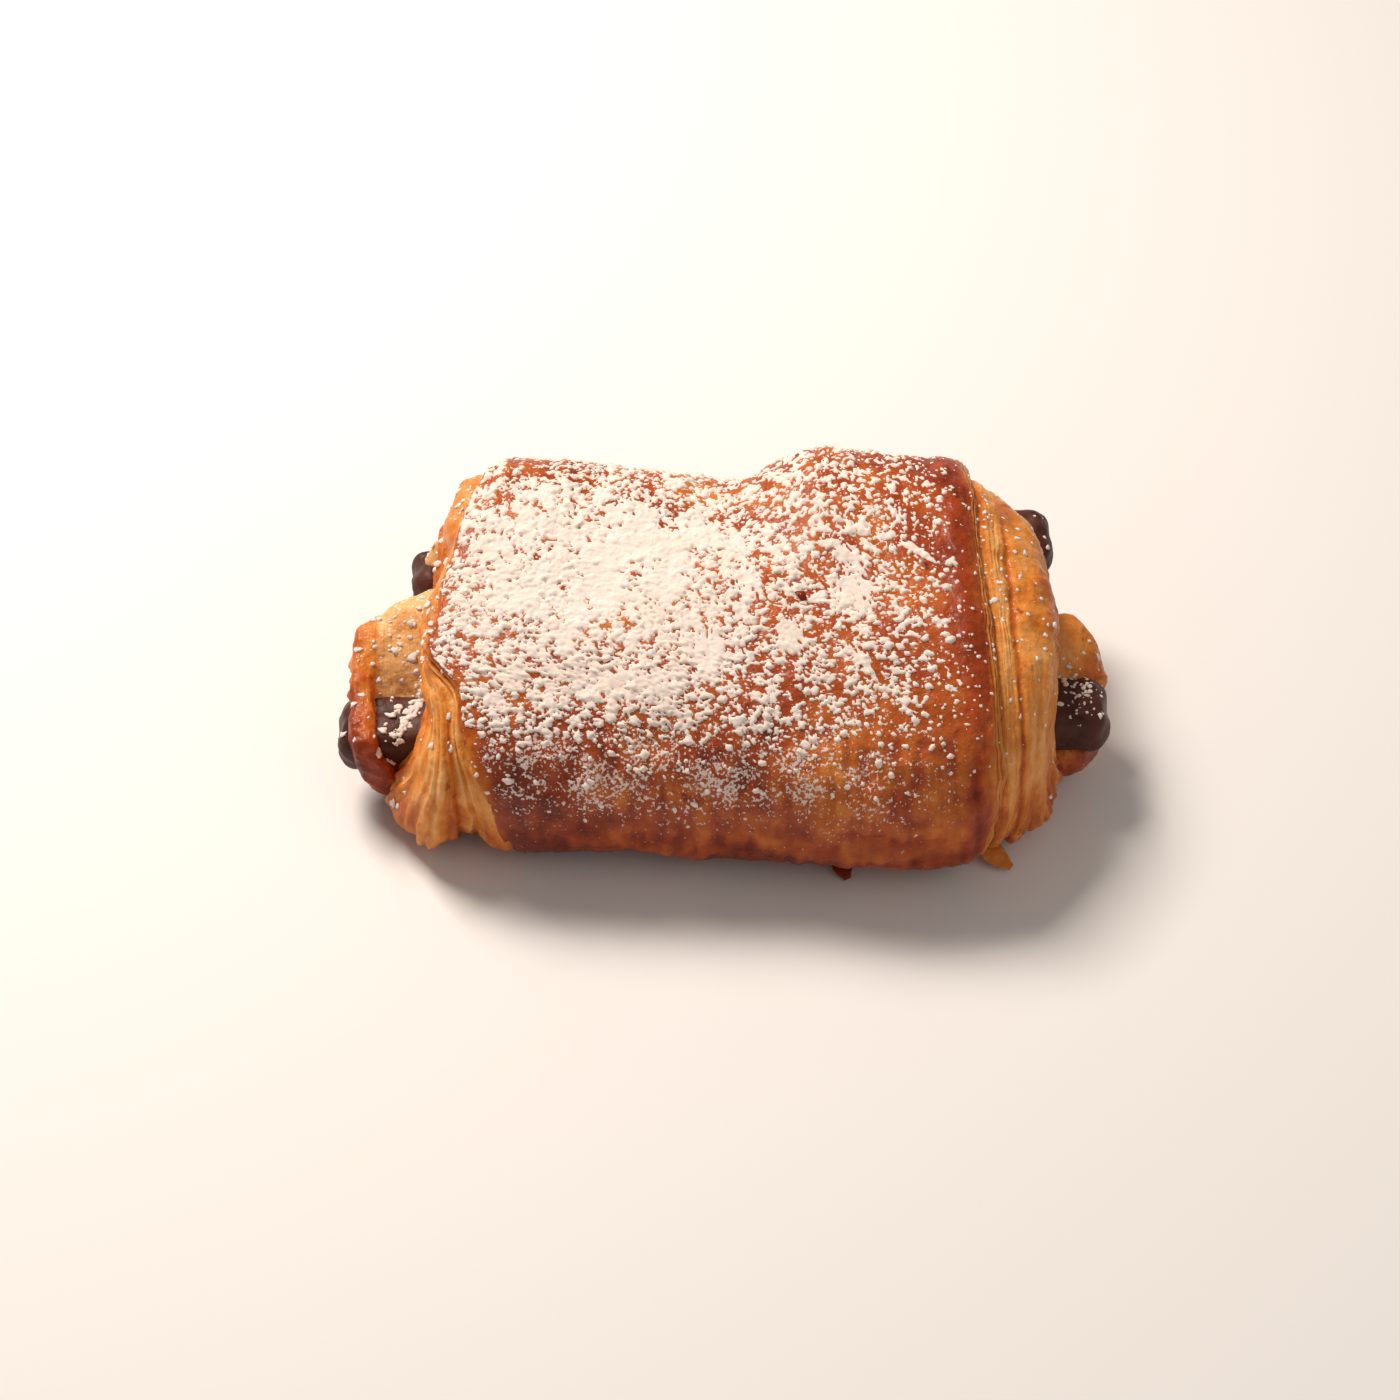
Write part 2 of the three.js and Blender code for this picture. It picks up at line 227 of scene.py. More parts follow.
# The camera's place, and in degrees how far it looks down, turns about Z and rolls.
CAMERA_PLACE = (-22.4, -362.8, 400.5)
CAMERA_ELEVATION = 47.07
CAMERA_TURN = -3.0
CAMERA_ROLL = 1.95
# Lights and floor, in metres: each light's place, its width and its colour, and where both aim.
KEY_LIGHT = ((-0.30, 0.34, 0.62), 0.28, (1.0, 0.89, 0.79))
FILL_LIGHT = ((0.45, -0.35, 0.50), 0.60, (1.0, 0.92, 0.84))
LIT_SPOT = (0, 0, 0.02)
SKY_COLOUR = (1.0, 0.94, 0.88, 1)
FLOOR_COLOUR = (0.86, 0.85, 0.84)
HALF_FLOOR = 3.0

DOUGH = "dough_roll"
SUGAR = "icing_sugar"
STICKS = ("chocolate_stick_front", "chocolate_stick_rear")

# The frame says where the front stick lies, and that places the roll's own axes in it.
_stick_low, _stick_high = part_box(STICKS[0])
PLACE = np.array([
    (_stick_low[0] + _stick_high[0]) / 2 / MM - (FRONT_STICK[0][0] + FRONT_STICK[1][0]) / 2,
    (_stick_low[1] + _stick_high[1]) / 2 / MM - (FRONT_STICK[0][1] + FRONT_STICK[1][1]) / 2,
    0.0,
])


# ------------------------------------------------------------------ curves and noise


def smooth_step(low, high, value):
    """0 below low and 1 above high, with 3t^2 - 2t^3 between them."""
    t = np.clip((value - low) / (high - low), 0, 1)
    return t * t * (3 - 2 * t)


def hump(value, middle, width):
    """A bell: e to the minus ((value - middle) / width) squared."""
    return np.exp(-(((value - middle) / width) ** 2))


def hermite(knots, values, at):
    """Cubic through the knots: each knot's slope is that of the chord between its neighbours."""
    slopes = np.gradient(values, knots, axis=0, edge_order=1)
    i = np.clip(np.searchsorted(knots, at, side="right") - 1, 0, len(knots) - 2)
    width = knots[i + 1] - knots[i]
    t = (at - knots[i]) / width
    shape = np.shape(at) + (1,) * (values.ndim - 1)
    t, width = t.reshape(shape), width.reshape(shape)
    start = (1 + 2 * t) * (1 - t) ** 2 * values[i] + t * (1 - t) ** 2 * width * slopes[i]
    end = t * t * (3 - 2 * t) * values[i + 1] + t * t * (t - 1) * width * slopes[i + 1]
    return start + end


def resample(values, rows):
    """The same cubic through values that are one step apart, read at this many even places."""
    values = np.array(values, float)
    knots = np.arange(len(values), dtype=float)
    return hermite(knots, values, np.linspace(0, len(values) - 1, rows))


def around(degrees, values, angle):
    """The same cubic on a closed loop of directions in degrees, read at angles in radians."""
    knots = np.asarray(degrees, float)
    values = np.asarray(values, float)
    knots = np.concatenate([knots - 360, knots, knots + 360])
    values = np.concatenate([values, values, values])
    return hermite(knots, values, np.degrees(angle) % 360)


def noise(points, size, seed):
    """Gradient noise: slopes drawn at random on a lattice of this cell size, blended by a quintic."""
    slopes = np.random.default_rng(seed).normal(size=(32, 32, 32, 3))
    slopes /= np.linalg.norm(slopes, axis=-1, keepdims=True)
    cell = np.asarray(points, float) / size
    base = np.floor(cell).astype(int)
    part = cell - base
    blend = part**3 * (part * (part * 6 - 15) + 10)
    total = np.zeros(part.shape[:-1])
    for corner in np.ndindex(2, 2, 2):
        corner = np.array(corner)
        i = (base + corner) % 32
        slope = slopes[i[..., 0], i[..., 1], i[..., 2]]
        weight = np.prod(np.where(corner, blend, 1 - blend), axis=-1)
        total += weight * np.sum(slope * (part - corner), axis=-1)
    return total * 1.6


def layered_noise(points, size, seed, octaves=3):
    """Noise plus copies at half the size and half the height."""
    return sum(noise(points, size / 2**k, seed + k) / 2**k for k in range(octaves))


def groove(phase, sharpness=3.0):
    """A row of rounded ridges with narrow grooves between: 1 on a ridge and 0 in a groove."""
    return 1 - np.abs(np.cos(math.pi * phase)) ** sharpness


def strata(points, out, count, seed):
    """Broken layer lines across a fold: ridges over the ring number, bent and faded by noise."""
    along = points / np.array([1.0, 4.0, 4.0])
    phase = count * out + 0.9 * noise(along, 3.5, seed) + 0.4 * noise(along, 1.3, seed + 1)
    fade = smooth_step(-0.35, 0.45, noise(points / np.array([1.0, 2.0, 2.0]), 4.5, seed + 2))
    return (groove(phase, 2.5) - 0.6) * fade


def window(value, start, full, fade, end):
    """0 up to start, 1 from full to fade and 0 again from end."""
    return smooth_step(start, full, value) * (1 - smooth_step(fade, end, value))


def rolled_layers(points, spacing, seed):
    """Layers of a rolled end: rounded ridges over the distance to the nearer chocolate stick.

    The two distances blend softly, so layers close to a stick ring it and outer ones ring both:
    the blend is minus softness times the logarithm of the sum of e to the minus distance over
    softness. Distances across Y count less. Returns the broad ridges and the thin leaves on them.
    """
    softness = 2.5
    stretch = np.array([1.0, 1.15, 1.0])
    near = 0.0
    for start, end in (np.array(FRONT_STICK), np.array(REAR_STICK)):
        share = (points[..., :1] - start[0]) / (end[0] - start[0])
        away = (points - start - (end - start) * share) / stretch
        near = near + np.exp(-np.linalg.norm(away, axis=-1) / softness)
    coil = -softness * np.log(near) / spacing + 0.40 * noise(points, 7, seed)
    leaves = groove(4 * coil + 0.3 * noise(points, 3, seed + 1), 2.0)
    return groove(coil, 1.6), leaves * smooth_step(-0.3, 0.4, noise(points, 5, seed + 2))


def rolled_end(points, share, spacing, seed):
    """Relief and bake that rolled layers give the end of a wrap, faded in by share."""
    ridges, leaves = rolled_layers(points, spacing, seed)
    relief = 1.1 * (ridges - 0.6) + 0.22 * (leaves - 0.4)
    return share * relief, share * (0.34 * ridges - 0.16 - 0.10 * leaves)


# ------------------------------------------------------------------ surfaces


def normals_of(points, outward):
    """Unit normals of a grid that closes round its columns: the cross product of its two steps."""
    around_step = np.roll(points, -1, axis=1) - np.roll(points, 1, axis=1)
    along_step = np.gradient(points, axis=0)
    normal = np.cross(around_step, along_step) * outward
    return normal / np.maximum(np.linalg.norm(normal, axis=-1, keepdims=True), 1e-9)


def front_depth(x):
    """Half depth of the roll's front: a slow flare to the right, plus a bell, less a smooth step."""
    belly, middle, width = FRONT_BELLY
    tuck, start, full = FRONT_TUCK
    flare = FRONT_DEPTH + FRONT_FLARE * x
    return flare + belly * hump(x, middle, width) - tuck * smooth_step(start, full, x)


def skin_radius(angle, x):
    """Distance from the roll's axis to its skin: a superellipse whose height follows the lid.

    One over the radius is the nth root of (cosine / depth)^n + (sine / height)^n. The height above
    the axis rises to the right and to the back, so it depends on the radius, and three rounds
    settle both. The bells of BACK_SAGS are taken off at the back of the lid.
    """
    c, s = np.cos(angle), np.sin(angle)
    depth = np.where(c > 0, BACK_DEPTH, front_depth(x))
    upper = FRONT_POWER + (BACK_POWER - FRONT_POWER) * smooth_step(0, 0.5, c)
    power = np.where(s > 0, upper, FOOT_POWER)
    radius = depth
    for _ in range(3):
        height = TOP_HEIGHT + TOP_RISE_RIGHT * x + TOP_RISE_BACK * radius * c
        height = np.where(s > 0, height, AXIS[2])
        radius = ((np.abs(c) / depth) ** power + (np.abs(s) / height) ** power) ** (-1 / power)
    back = smooth_step(-0.1, 0.75, c) * smooth_step(0, 0.4, s)
    sag = sum(deep * hump(x, middle, width) for deep, middle, width in BACK_SAGS)
    return radius - sag * back


def ring_points(angle, x, radius, axis=AXIS):
    """Points at a radius from an axis along X, in the direction of the angle."""
    return np.stack([x, axis[1] + radius * np.cos(angle), axis[2] + radius * np.sin(angle)], -1)


def settle(points, sink=0.9, reach=4.0, softness=0.6):
    """Rests a piece on the floor: its foot sinks a little and is then pressed flat at Z = 0.

    The foot sinks by e to the minus Z over reach. Within softness of the floor the height
    follows (Z + softness) squared over 4 softness, which meets both the floor and the side.
    """
    z = points[..., 2]
    z = z - sink * np.exp(-np.maximum(z, 0) / reach)
    pressed = np.clip(z + softness, 0, None) ** 2 / (4 * softness)
    return np.concatenate([points[..., :2], np.where(z > softness, z, pressed)[..., None]], -1)


def to_mesh(name, points, faces, attributes=None):
    """A mesh object from millimetre points on the roll's axes, with float attributes per point."""
    mesh = bpy.data.meshes.new(name)
    mesh.from_pydata((points + PLACE) * MM, [], faces)
    for key, values in (attributes or {}).items():
        layer = mesh.attributes.new(key, "FLOAT", "POINT")
        layer.data.foreach_set("value", np.asarray(values, np.float32).ravel())
    mesh.validate()
    mesh.shade_smooth()
    piece = bpy.data.objects.new(name, mesh)
    bpy.context.scene.collection.objects.link(piece)
    return piece


def closed_grid(points, outward, attributes=None):
    """Closes a grid of rings with a pole at the mean of its first ring and of its last ring."""
    rows, columns = points.shape[:2]
    flat = points.reshape(-1, 3)
    poles = np.stack([points[0].mean(0), points[-1].mean(0)])
    index = np.arange(rows * columns).reshape(rows, columns)
    after = np.roll(index, -1, axis=1)
    quads = np.stack([index[:-1], after[:-1], after[1:], index[1:]], -1).reshape(-1, 4)
    first = np.stack([after[0], index[0], np.full(columns, rows * columns)], -1)
    last = np.stack([index[-1], after[-1], np.full(columns, rows * columns + 1)], -1)
    if outward < 0:
        quads, first, last = quads[:, ::-1], first[:, ::-1], last[:, ::-1]
    faces = quads.tolist() + first.tolist() + last.tolist()
    values = {
        key: np.concatenate([grid.ravel(), [grid[0].mean(), grid[-1].mean()]])
        for key, grid in (attributes or {}).items()
    }
    return np.concatenate([flat, poles]), faces, values


def finish_piece(piece, look, slot, *nodes):
    """Gives a piece its material and its body, and hides the CAD nodes that it stands for; slot is not
    used.
    """
    piece.data.materials.append(look)
    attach(piece, "root")
    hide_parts(*nodes)
    return piece


# ------------------------------------------------------------------ dough shapes


def lid_grid(rows, columns):
    """Rings from the lid's left edge to its right edge, with a rim of steps past each edge.

    X runs evenly from edge to edge. Both edges are made ragged by noise read on a circle, so that
    it closes round. Returns direction, X, inset from the skin, and both edges.
    """
    angle = np.linspace(0, 2 * math.pi, columns, endpoint=False)
    circle = 12 * np.stack([np.cos(angle), np.sin(angle), 0 * angle], -1)
    left = around(*zip(*LID_LEFT_EDGE), angle) + 0.5 * noise(circle, 4.0, 6)
    right = around(*zip(*LID_RIGHT_EDGE), angle) + 0.35 * noise(circle, 3.0, 5)
    left_rim = resample(LEFT_RIM, LEFT_RIM_ROWS)
    right_rim = resample(RIGHT_RIM, RIGHT_RIM_ROWS)
    lid_x = left + (right - left) * np.linspace(0, 1, rows)[:, None]
    x = np.concatenate([left + left_rim[:, :1], lid_x, right + right_rim[:, :1]])
    inset = np.concatenate([left_rim[:, 1:], np.zeros((rows, 1)), right_rim[:, 1:]])
    return np.broadcast_to(angle, x.shape), x, np.broadcast_to(inset, x.shape), left, right


def lid_marks(rows, columns):
    """The lid's bare skin, and the zones and patterns that its relief, bake and dusting share.

    top, front, foot, behind and rim say how far a point is in those zones, from 0 to 1, and curl
    does for the corner of dough that turns up at the left of the foot. streaks is noise drawn out
    round the roll and stretch is noise drawn out along it. past counts the direction on past the
    back, in a wave, and layers counts the layers that show in a rim.
    """
    angle, x, inset, left, right = lid_grid(rows, columns)
    points = ring_points(angle, x, np.maximum(skin_radius(angle, x) - inset, 1.5))
    turn = np.degrees(angle)
    behind = 1 - window(turn, 45, 75, 255, 300)
    flow = np.stack([x, angle * 32, 0 * x], -1)
    streaks = (1 - behind) * layered_noise(flow / np.array([1.0, 4.0, 1.0]), 2.4, 21, 3)
    streaks += behind * layered_noise(points / np.array([1.0, 4.0, 4.0]), 2.4, 22, 3)
    bend = noise(points, 9, 31)[..., None]
    wave = 5 * noise(points / np.array([1.0, 8.0, 8.0]), 14, 38)
    return SimpleNamespace(
        points=points,
        x=x,
        turn=turn,
        from_left=x - left,
        from_right=right - x,
        edge=np.minimum(x - left, right - x),
        top=np.minimum(smooth_step(20, 40, turn), 1 - smooth_step(195, 230, turn)),
        front=window(turn, 138, 165, 205, 235),
        foot=1 - smooth_step(184, 206, turn),
        behind=behind,
        curl=hump(turn, 199, 13) * hump(x - left, 2.5, 4),
        streaks=streaks,
        stretch=noise(flow / np.array([4.0, 1.0, 1.0]) + 0.5 * bend, 3.4, 32),
        past=np.where(turn < 180, turn + 360, turn) + wave,
        rim=smooth_step(0.5, 1.5, inset),
        layers=inset * 1.9 + 0.5 * noise(points, 6, 51),
    )


def lid_relief(lid):
    """Height added to the lid's skin.

    Broad swellings on top, streaks and stretch marks down the front, fine grain all over, a raised
    right edge, a sunk left one, the step where the sheet ends low on the back, and rims of layers.
    """
    bump = 0.6 * layered_noise(lid.points, 17, 11, 2) * lid.top
    sharp = lid.streaks - 0.5 * np.abs(lid.streaks)
    bump += (0.10 * lid.top + 0.36 * lid.front * lid.foot) * sharp
    bump += 0.65 * lid.stretch * lid.front * lid.foot * smooth_step(-5, 20, lid.x)
    bump += 0.40 * noise(lid.points, 6, 36) * lid.front
    bump += 0.5 * hump(lid.turn, 199, 12) * hump(lid.from_left, 2.5, 2.5)
    bump += 0.14 * layered_noise(lid.points, 1.6, 41, 2)
    bump += (0.28 * hump(lid.from_right, 1.2, 1.6) - 0.25 * hump(lid.from_left, 0, 2.0)) * lid.top
    seam = window(lid.past, 350, 352.5, 358, 400)
    bump += lid.behind * (0.9 * seam + 0.45 * noise(lid.points, 7, 39) + 0.30 * lid.streaks)
    return bump + lid.rim * (0.32 * groove(lid.layers) - 0.2)


def lid_bake_and_shade(lid, points):
    """How dark the lid is, from 0 for raw dough to 1 for the darkest crust, painted shade included.

    An even tone with noise in it, darker towards the foot, partly browner and partly painted shade
    low on the front, darker in the curl and along the edges, and lighter where the dough stretched.
    The rims are pale on their layers and darker in the grooves between them, which is painted shade.
    """
    # Darker low down: browner towards the foot, with painted shade where the front turns under.
    low = window(lid.turn, 160, 205, 290, 352)
    bake_and_shade = 0.67 + 0.16 * layered_noise(points, 12, 61, 3) + 0.18 * low
    bake_and_shade += lid.front * (0.14 * noise(points, 3.2, 37) - 0.10 * lid.stretch)
    bake_and_shade += lid.front * 0.08 * (1 - smooth_step(-32, -8, lid.x))
    bake_and_shade -= lid.front * 0.16 * hump(lid.x, 30, 16) * hump(lid.turn, 172, 22)
    rear_tip = hump(lid.turn, 34, 14) * hump(lid.x, -38, 6)
    bake_and_shade += 0.14 * hump(lid.from_right, 1.0, 2.6) * lid.top
    bake_and_shade += 0.3 * lid.curl + 0.3 * rear_tip * hump(lid.edge, 0, 2.5)
    bake_and_shade -= (0.05 + 0.12 * lid.front) * lid.streaks + 0.2 * hump(lid.from_left, 0, 1.6) * lid.front
    bake_and_shade -= 0.12 * hump(lid.turn, 44, 12) * hump(lid.x, 4, 16)
    broken = smooth_step(-0.5, 0.4, noise(points, 11, 40))
    bake_and_shade -= lid.behind * (0.26 * broken * hump(lid.past, 351, 1.6) + 0.10 * lid.streaks)
    # Pale on the layers and darker in the grooves between them: painted shade in the grooves.
    pale = 0.58 - 0.36 * groove(lid.layers) + 0.08 * noise(points, 5, 62)
    return np.clip(bake_and_shade * (1 - lid.rim) + pale * lid.rim, 0, 1)


def lid_dust(lid):
    """Fine sugar that clings to the lid: a little on top, most where the front turns down."""
    dust = 0.06 * hump(lid.turn, 90, 55)
    dust += 0.80 * hump(lid.turn, 161, 19) * (1 - 0.5 * smooth_step(15, 35, lid.x))
    dust += 0.6 * lid.curl
    return np.clip(dust * (1 - lid.rim) * smooth_step(0, 4, lid.edge), 0, 1)


def lid_surface(rows, columns):
    """The outermost wrap: its skin raised by its relief along the normals and set on the floor."""
    lid = lid_marks(rows, columns)
    points = settle(lid.points + normals_of(lid.points, 1) * lid_relief(lid)[..., None])
    return points, {
        "bake_and_shade": lid_bake_and_shade(lid, points),
        "layer": lid.layers,
        "flake": lid.rim,
        "dust": lid_dust(lid),
    }


def cage_surface(cage, rows, columns):
    """A fold from its cage: cubics round the axis through each ring of the cage, then along it.

    Returns angle, ring number, X and radius on the grid.
    """
    directions = sorted(cage)
    rings = np.array([cage[d] for d in directions], float)
    angle = np.linspace(0, 2 * math.pi, columns, endpoint=False)
    rings = np.swapaxes(around(directions, rings, angle), 0, 1)
    grid = resample(rings, rows)
    ring = np.linspace(0, len(rings) - 1, rows)[:, None]
    angle = np.broadcast_to(angle, grid.shape[:2])
    return angle, np.broadcast_to(ring, grid.shape[:2]), grid[..., 0], grid[..., 1]


def with_root(cage, inner_x, inset):
    """Adds two rings under the lid to a cage, so that its fold starts inside the roll."""
    grown = {}
    for direction, rings in cage.items():
        x, radius = rings[0]
        grown[direction] = ((inner_x, radius * 0.4), ((inner_x + x) / 2, radius - inset)) + tuple(rings)
    return grown


def left_wrap_surface(rows, columns):
    """The wrap under the lid at the left end: a fan of ribs over its front, plain round the back.

    The ribs are ridges over the ring number, which counts out from the lid, bent by noise that is
    drawn out round the roll. Two broad bells swell under them towards the foot. Past the fold's
    turn the end shows rolled layers. Ribs are pale and the grooves between them darker, which is
    painted shade, as is a dark line in the hollow between the two bells. The fan darkens towards
    its foot.
    """
    cage = with_root(LEFT_WRAP, -30, 1.5)
    angle, ring, x, radius = cage_surface(cage, rows, columns)
    points = ring_points(angle, x, radius)
    turn = np.degrees(angle)
    out = ring - 2
    fan = window(turn, 128, 150, 225, 250)
    swell = smooth_step(140, 190, turn)
    along = points / np.array([1.0, 3.5, 3.5])
    wander = 0.55 * noise(along, 4, 71) + 0.25 * noise(along, 1.8, 70)
    bent = out + 0.5 * wander
    broad = hump(bent, 3.3, 1.2) + 0.85 * hump(bent, 0.9, 0.6)
    ribs = groove(out * 1.25 + wander, 2.0)
    bump = swell * (1.5 * broad - 0.8) + (0.2 + 0.45 * swell) * (ribs - 0.6)
    bump = fan * (bump + 0.06 * strata(points, out, 3.2, 77))
    bump += (0.8 - 0.4 * fan) * layered_noise(points, 5, 72, 2) + 0.08 * noise(points, 1.1, 75)
    bump *= smooth_step(0.2, 1.2, out) * (1 - 0.75 * smooth_step(4.0, 5.4, out))
    end = smooth_step(3.6 + 0.9 * fan, 4.8 + 0.9 * fan, out)
    end_relief, end_bake = rolled_end(points, end, 3.0, 171)
    points = settle(points + normals_of(points, -1) * (bump + end_relief)[..., None])
    bake_and_shade = 0.35 + 0.14 * layered_noise(points, 4, 76, 3) + end_bake
    # Grooves between the ribs are darker than the ribs: painted shade.
    bake_and_shade += fan * (0.34 * smooth_step(170, 208, turn) - 0.16 * ribs - 0.03)
    # A dark line in the hollow between the two bells is painted shade; the outer bell is paler.
    bake_and_shade += fan * (0.30 * hump(bent, 2.0, 0.3) - 0.10 * hump(out, 3.4, 0.9) * swell)
    return points, {
        "bake_and_shade": np.clip(bake_and_shade, 0, 1),
        "layer": out + wander,
        "flake": 0.35 * fan * (1 - smooth_step(4.2, 5.2, out)),
        "dust": 0.3 * (1 - fan),
    }


def right_wrap_surface(rows, columns):
    """The wrap under the lid at the right end: a golden band, bumpy on top, layered at the front.

    Fine broken layers and broad ridges run over the ring number. They are strongest at the front
    and towards the foot, where the layers gather, and their grooves are darker than their ridges,
    which is painted shade. A narrow slit parts the rim from the band and is darkened as painted
    shade, and past the fold's turn the end shows rolled layers. The band darkens at its turn and
    foot, and with painted shade where it comes out from under the lid's edge.
    """
    cage = with_root(RIGHT_WRAP, 34, 1.5)
    angle, ring, x, radius = cage_surface(cage, rows, columns)
    points = ring_points(angle, x, radius)
    turn = np.degrees(angle)
    out = ring - 2
    front = window(turn, 105, 150, 235, 265)
    foot = smooth_step(168, 195, turn) * front
    slit = smooth_step(40, 75, turn)
    rim = hump(out, 0.45, 0.75)
    wander = 0.6 * noise(points / np.array([1.0, 3.0, 3.0]), 5, 81)
    fine = strata(points, out, 3.0, 87)
    broad = groove(out * 0.7 + wander + 0.35, 2.5)
    bump = (0.22 * rim + 0.12 * front + 0.22 * foot) * fine
    bump += (0.35 * front + 0.45 * foot) * (broad - 0.6) - 0.45 * hump(out, 1.3, 0.22) * slit
    bump += 0.55 * (1 - front) * layered_noise(points, 4.5, 82, 2)
    bump += 0.35 * layered_noise(points, 8, 83, 2) + 0.10 * noise(points, 1.1, 85)
    bump *= smooth_step(0.0, 0.8, out) * (1 - 0.6 * smooth_step(4.2, 5.2, out))
    end_relief, end_bake = rolled_end(points, smooth_step(3.7, 4.7, out), 3.0, 181)
    points = settle(points + normals_of(points, 1) * (bump + end_relief)[..., None])
    # The layers' grooves are darker than their ridges: painted shade.
    bake_and_shade = 0.28 - (0.05 + 0.10 * foot) * fine + 0.13 * layered_noise(points, 6, 86, 3)
    bake_and_shade += 0.20 * hump(out, 3.9, 0.7) * (1 - front) + 0.24 * foot + end_bake
    # Darker where the band comes out from under the lid and in the slit: painted shade.
    bake_and_shade += 0.20 * hump(out, -0.05, 0.35) + 0.28 * hump(out, 1.3, 0.16) * slit
    # Paler on the rim; the broad grooves darker than the broad ridges, which is painted shade.
    bake_and_shade -= 0.14 * hump(out, 0.6, 0.5) + 0.1 * front * (broad - 0.5)
    return points, {
        "bake_and_shade": np.clip(bake_and_shade, 0, 1),
        "layer": out + 0.5 * wander,
        "flake": np.clip(0.45 * rim + 0.25 * front + 0.35 * foot, 0, 1),
        "dust": np.full_like(out, 0.08),
    }


def core_surface(stations, cage, axis, inner_x, rows, columns, seed, strap=None, tuck=None):
    """The innermost fold round the front stick: a lobe that is hollowed where the stick shows.

    strap and tuck shift X, by direction, in the middle rings and towards the end. The relief is
    noise with fine broken layers, and the end shows rolled layers.
    """
    tip = stations[-1]
    side = 1 if tip > 0 else -1
    closed = {}
    for direction, radii in cage.items():
        first, last = radii[0], radii[-1]
        inner = ((inner_x, first * 0.5), ((inner_x + stations[0]) / 2, first))
        outer = ((tip - side * 0.2, last * 0.72), (tip - side * 2.5, last * 0.4))
        closed[direction] = inner + tuple(zip(stations, radii)) + outer
    angle, ring, x, radius = cage_surface(closed, rows, columns)
    out = ring - 2
    if strap:
        x = x + around(*zip(*strap), angle) * window(out, 1.6, 3.2, 4.2, 5.0)
    if tuck:
        x = x + around(*zip(*tuck), angle) * smooth_step(2.0, 4.5, out)
    points = ring_points(angle, x, radius, axis)
    bump = 0.05 * strata(points, out, 2.6, seed + 7) + 0.5 * layered_noise(points, 5, seed + 1, 2)
    bump += 0.12 * noise(points, 1.0, seed + 4)
    bump *= smooth_step(-0.5, 0.5, out)
    ridges, leaves = rolled_layers(points, 2.6, seed + 9)
    bump += smooth_step(5.4, 6.4, out) * (0.6 * (ridges - 0.6) + 0.15 * (leaves - 0.4))
    points = settle(points + normals_of(points, side) * bump[..., None])
    return points, angle, out, ridges


def left_core_surface(rows, columns):
    """Pale smooth lobe behind the stick, which ends in an orange strap that crosses the stick.

    The dough is pale on the lobe and darker on the strap, most of all at the strap's two edges,
    and darker again at the strap's front, which is painted shade. A dark line of melted chocolate
    runs along the back of the lobe.
    """
    points, angle, out, ridges = core_surface(
        LEFT_CORE_X, LEFT_CORE, LEFT_CORE_AXIS, -38, rows, columns, 91, LEFT_STRAP, LEFT_TUCK
    )
    turn = np.degrees(angle)
    strap = smooth_step(2.9, 3.8, out)
    behind = 1 - window(turn, 58, 80, 285, 340)
    edges = hump(out, 3.1, 0.5) + hump(out, 5.3, 0.6)
    bake_and_shade = 0.05 + 0.12 * layered_noise(points, 5, 95, 4)
    bake_and_shade += strap * (0.44 + 0.16 * noise(points, 2.5, 96) + 0.25 * edges) * (1 - 0.6 * behind)
    # The strap darkens towards the front: painted shade.
    bake_and_shade += 0.26 * strap * hump(turn, 178, 42) + 0.25 * smooth_step(5.4, 6.4, out) * (ridges - 0.4)
    bake_and_shade += 0.7 * hump(turn, 20, 7) * window(out + noise(points, 3, 97), 0.4, 1.2, 2.4, 3.4)
    bake_and_shade += 0.25 * window(turn, 195, 230, 265, 325) * smooth_step(1, 3, out)
    return points, {
        "bake_and_shade": np.clip(bake_and_shade, 0, 1),
        "layer": out,
        "flake": 0.3 * strap,
        "dust": 0.5 * (1 - window(turn, 110, 140, 285, 340)) * (1 - strap),
    }


def right_core_surface(rows, columns):
    """Golden lobe behind and over the stick, with a darker lip of dough under it."""
    points, angle, out, ridges = core_surface(
        RIGHT_CORE_X, RIGHT_CORE, RIGHT_CORE_AXIS, 44, rows, columns, 101, None, RIGHT_TUCK
    )
    bake_and_shade = 0.24 + 0.12 * layered_noise(points, 5, 105, 3)
    bake_and_shade += 0.25 * smooth_step(5.2, 6.2, out) * (ridges - 0.4)
    bake_and_shade += 0.5 * window(np.degrees(angle), 190, 215, 235, 300) + 0.16 * smooth_step(3.5, 5.5, out)
    return points, {
        "bake_and_shade": np.clip(bake_and_shade, 0, 1),
        "layer": out,
        "flake": np.full_like(out, 0.2),
        "dust": np.full_like(out, 0.10),
    }


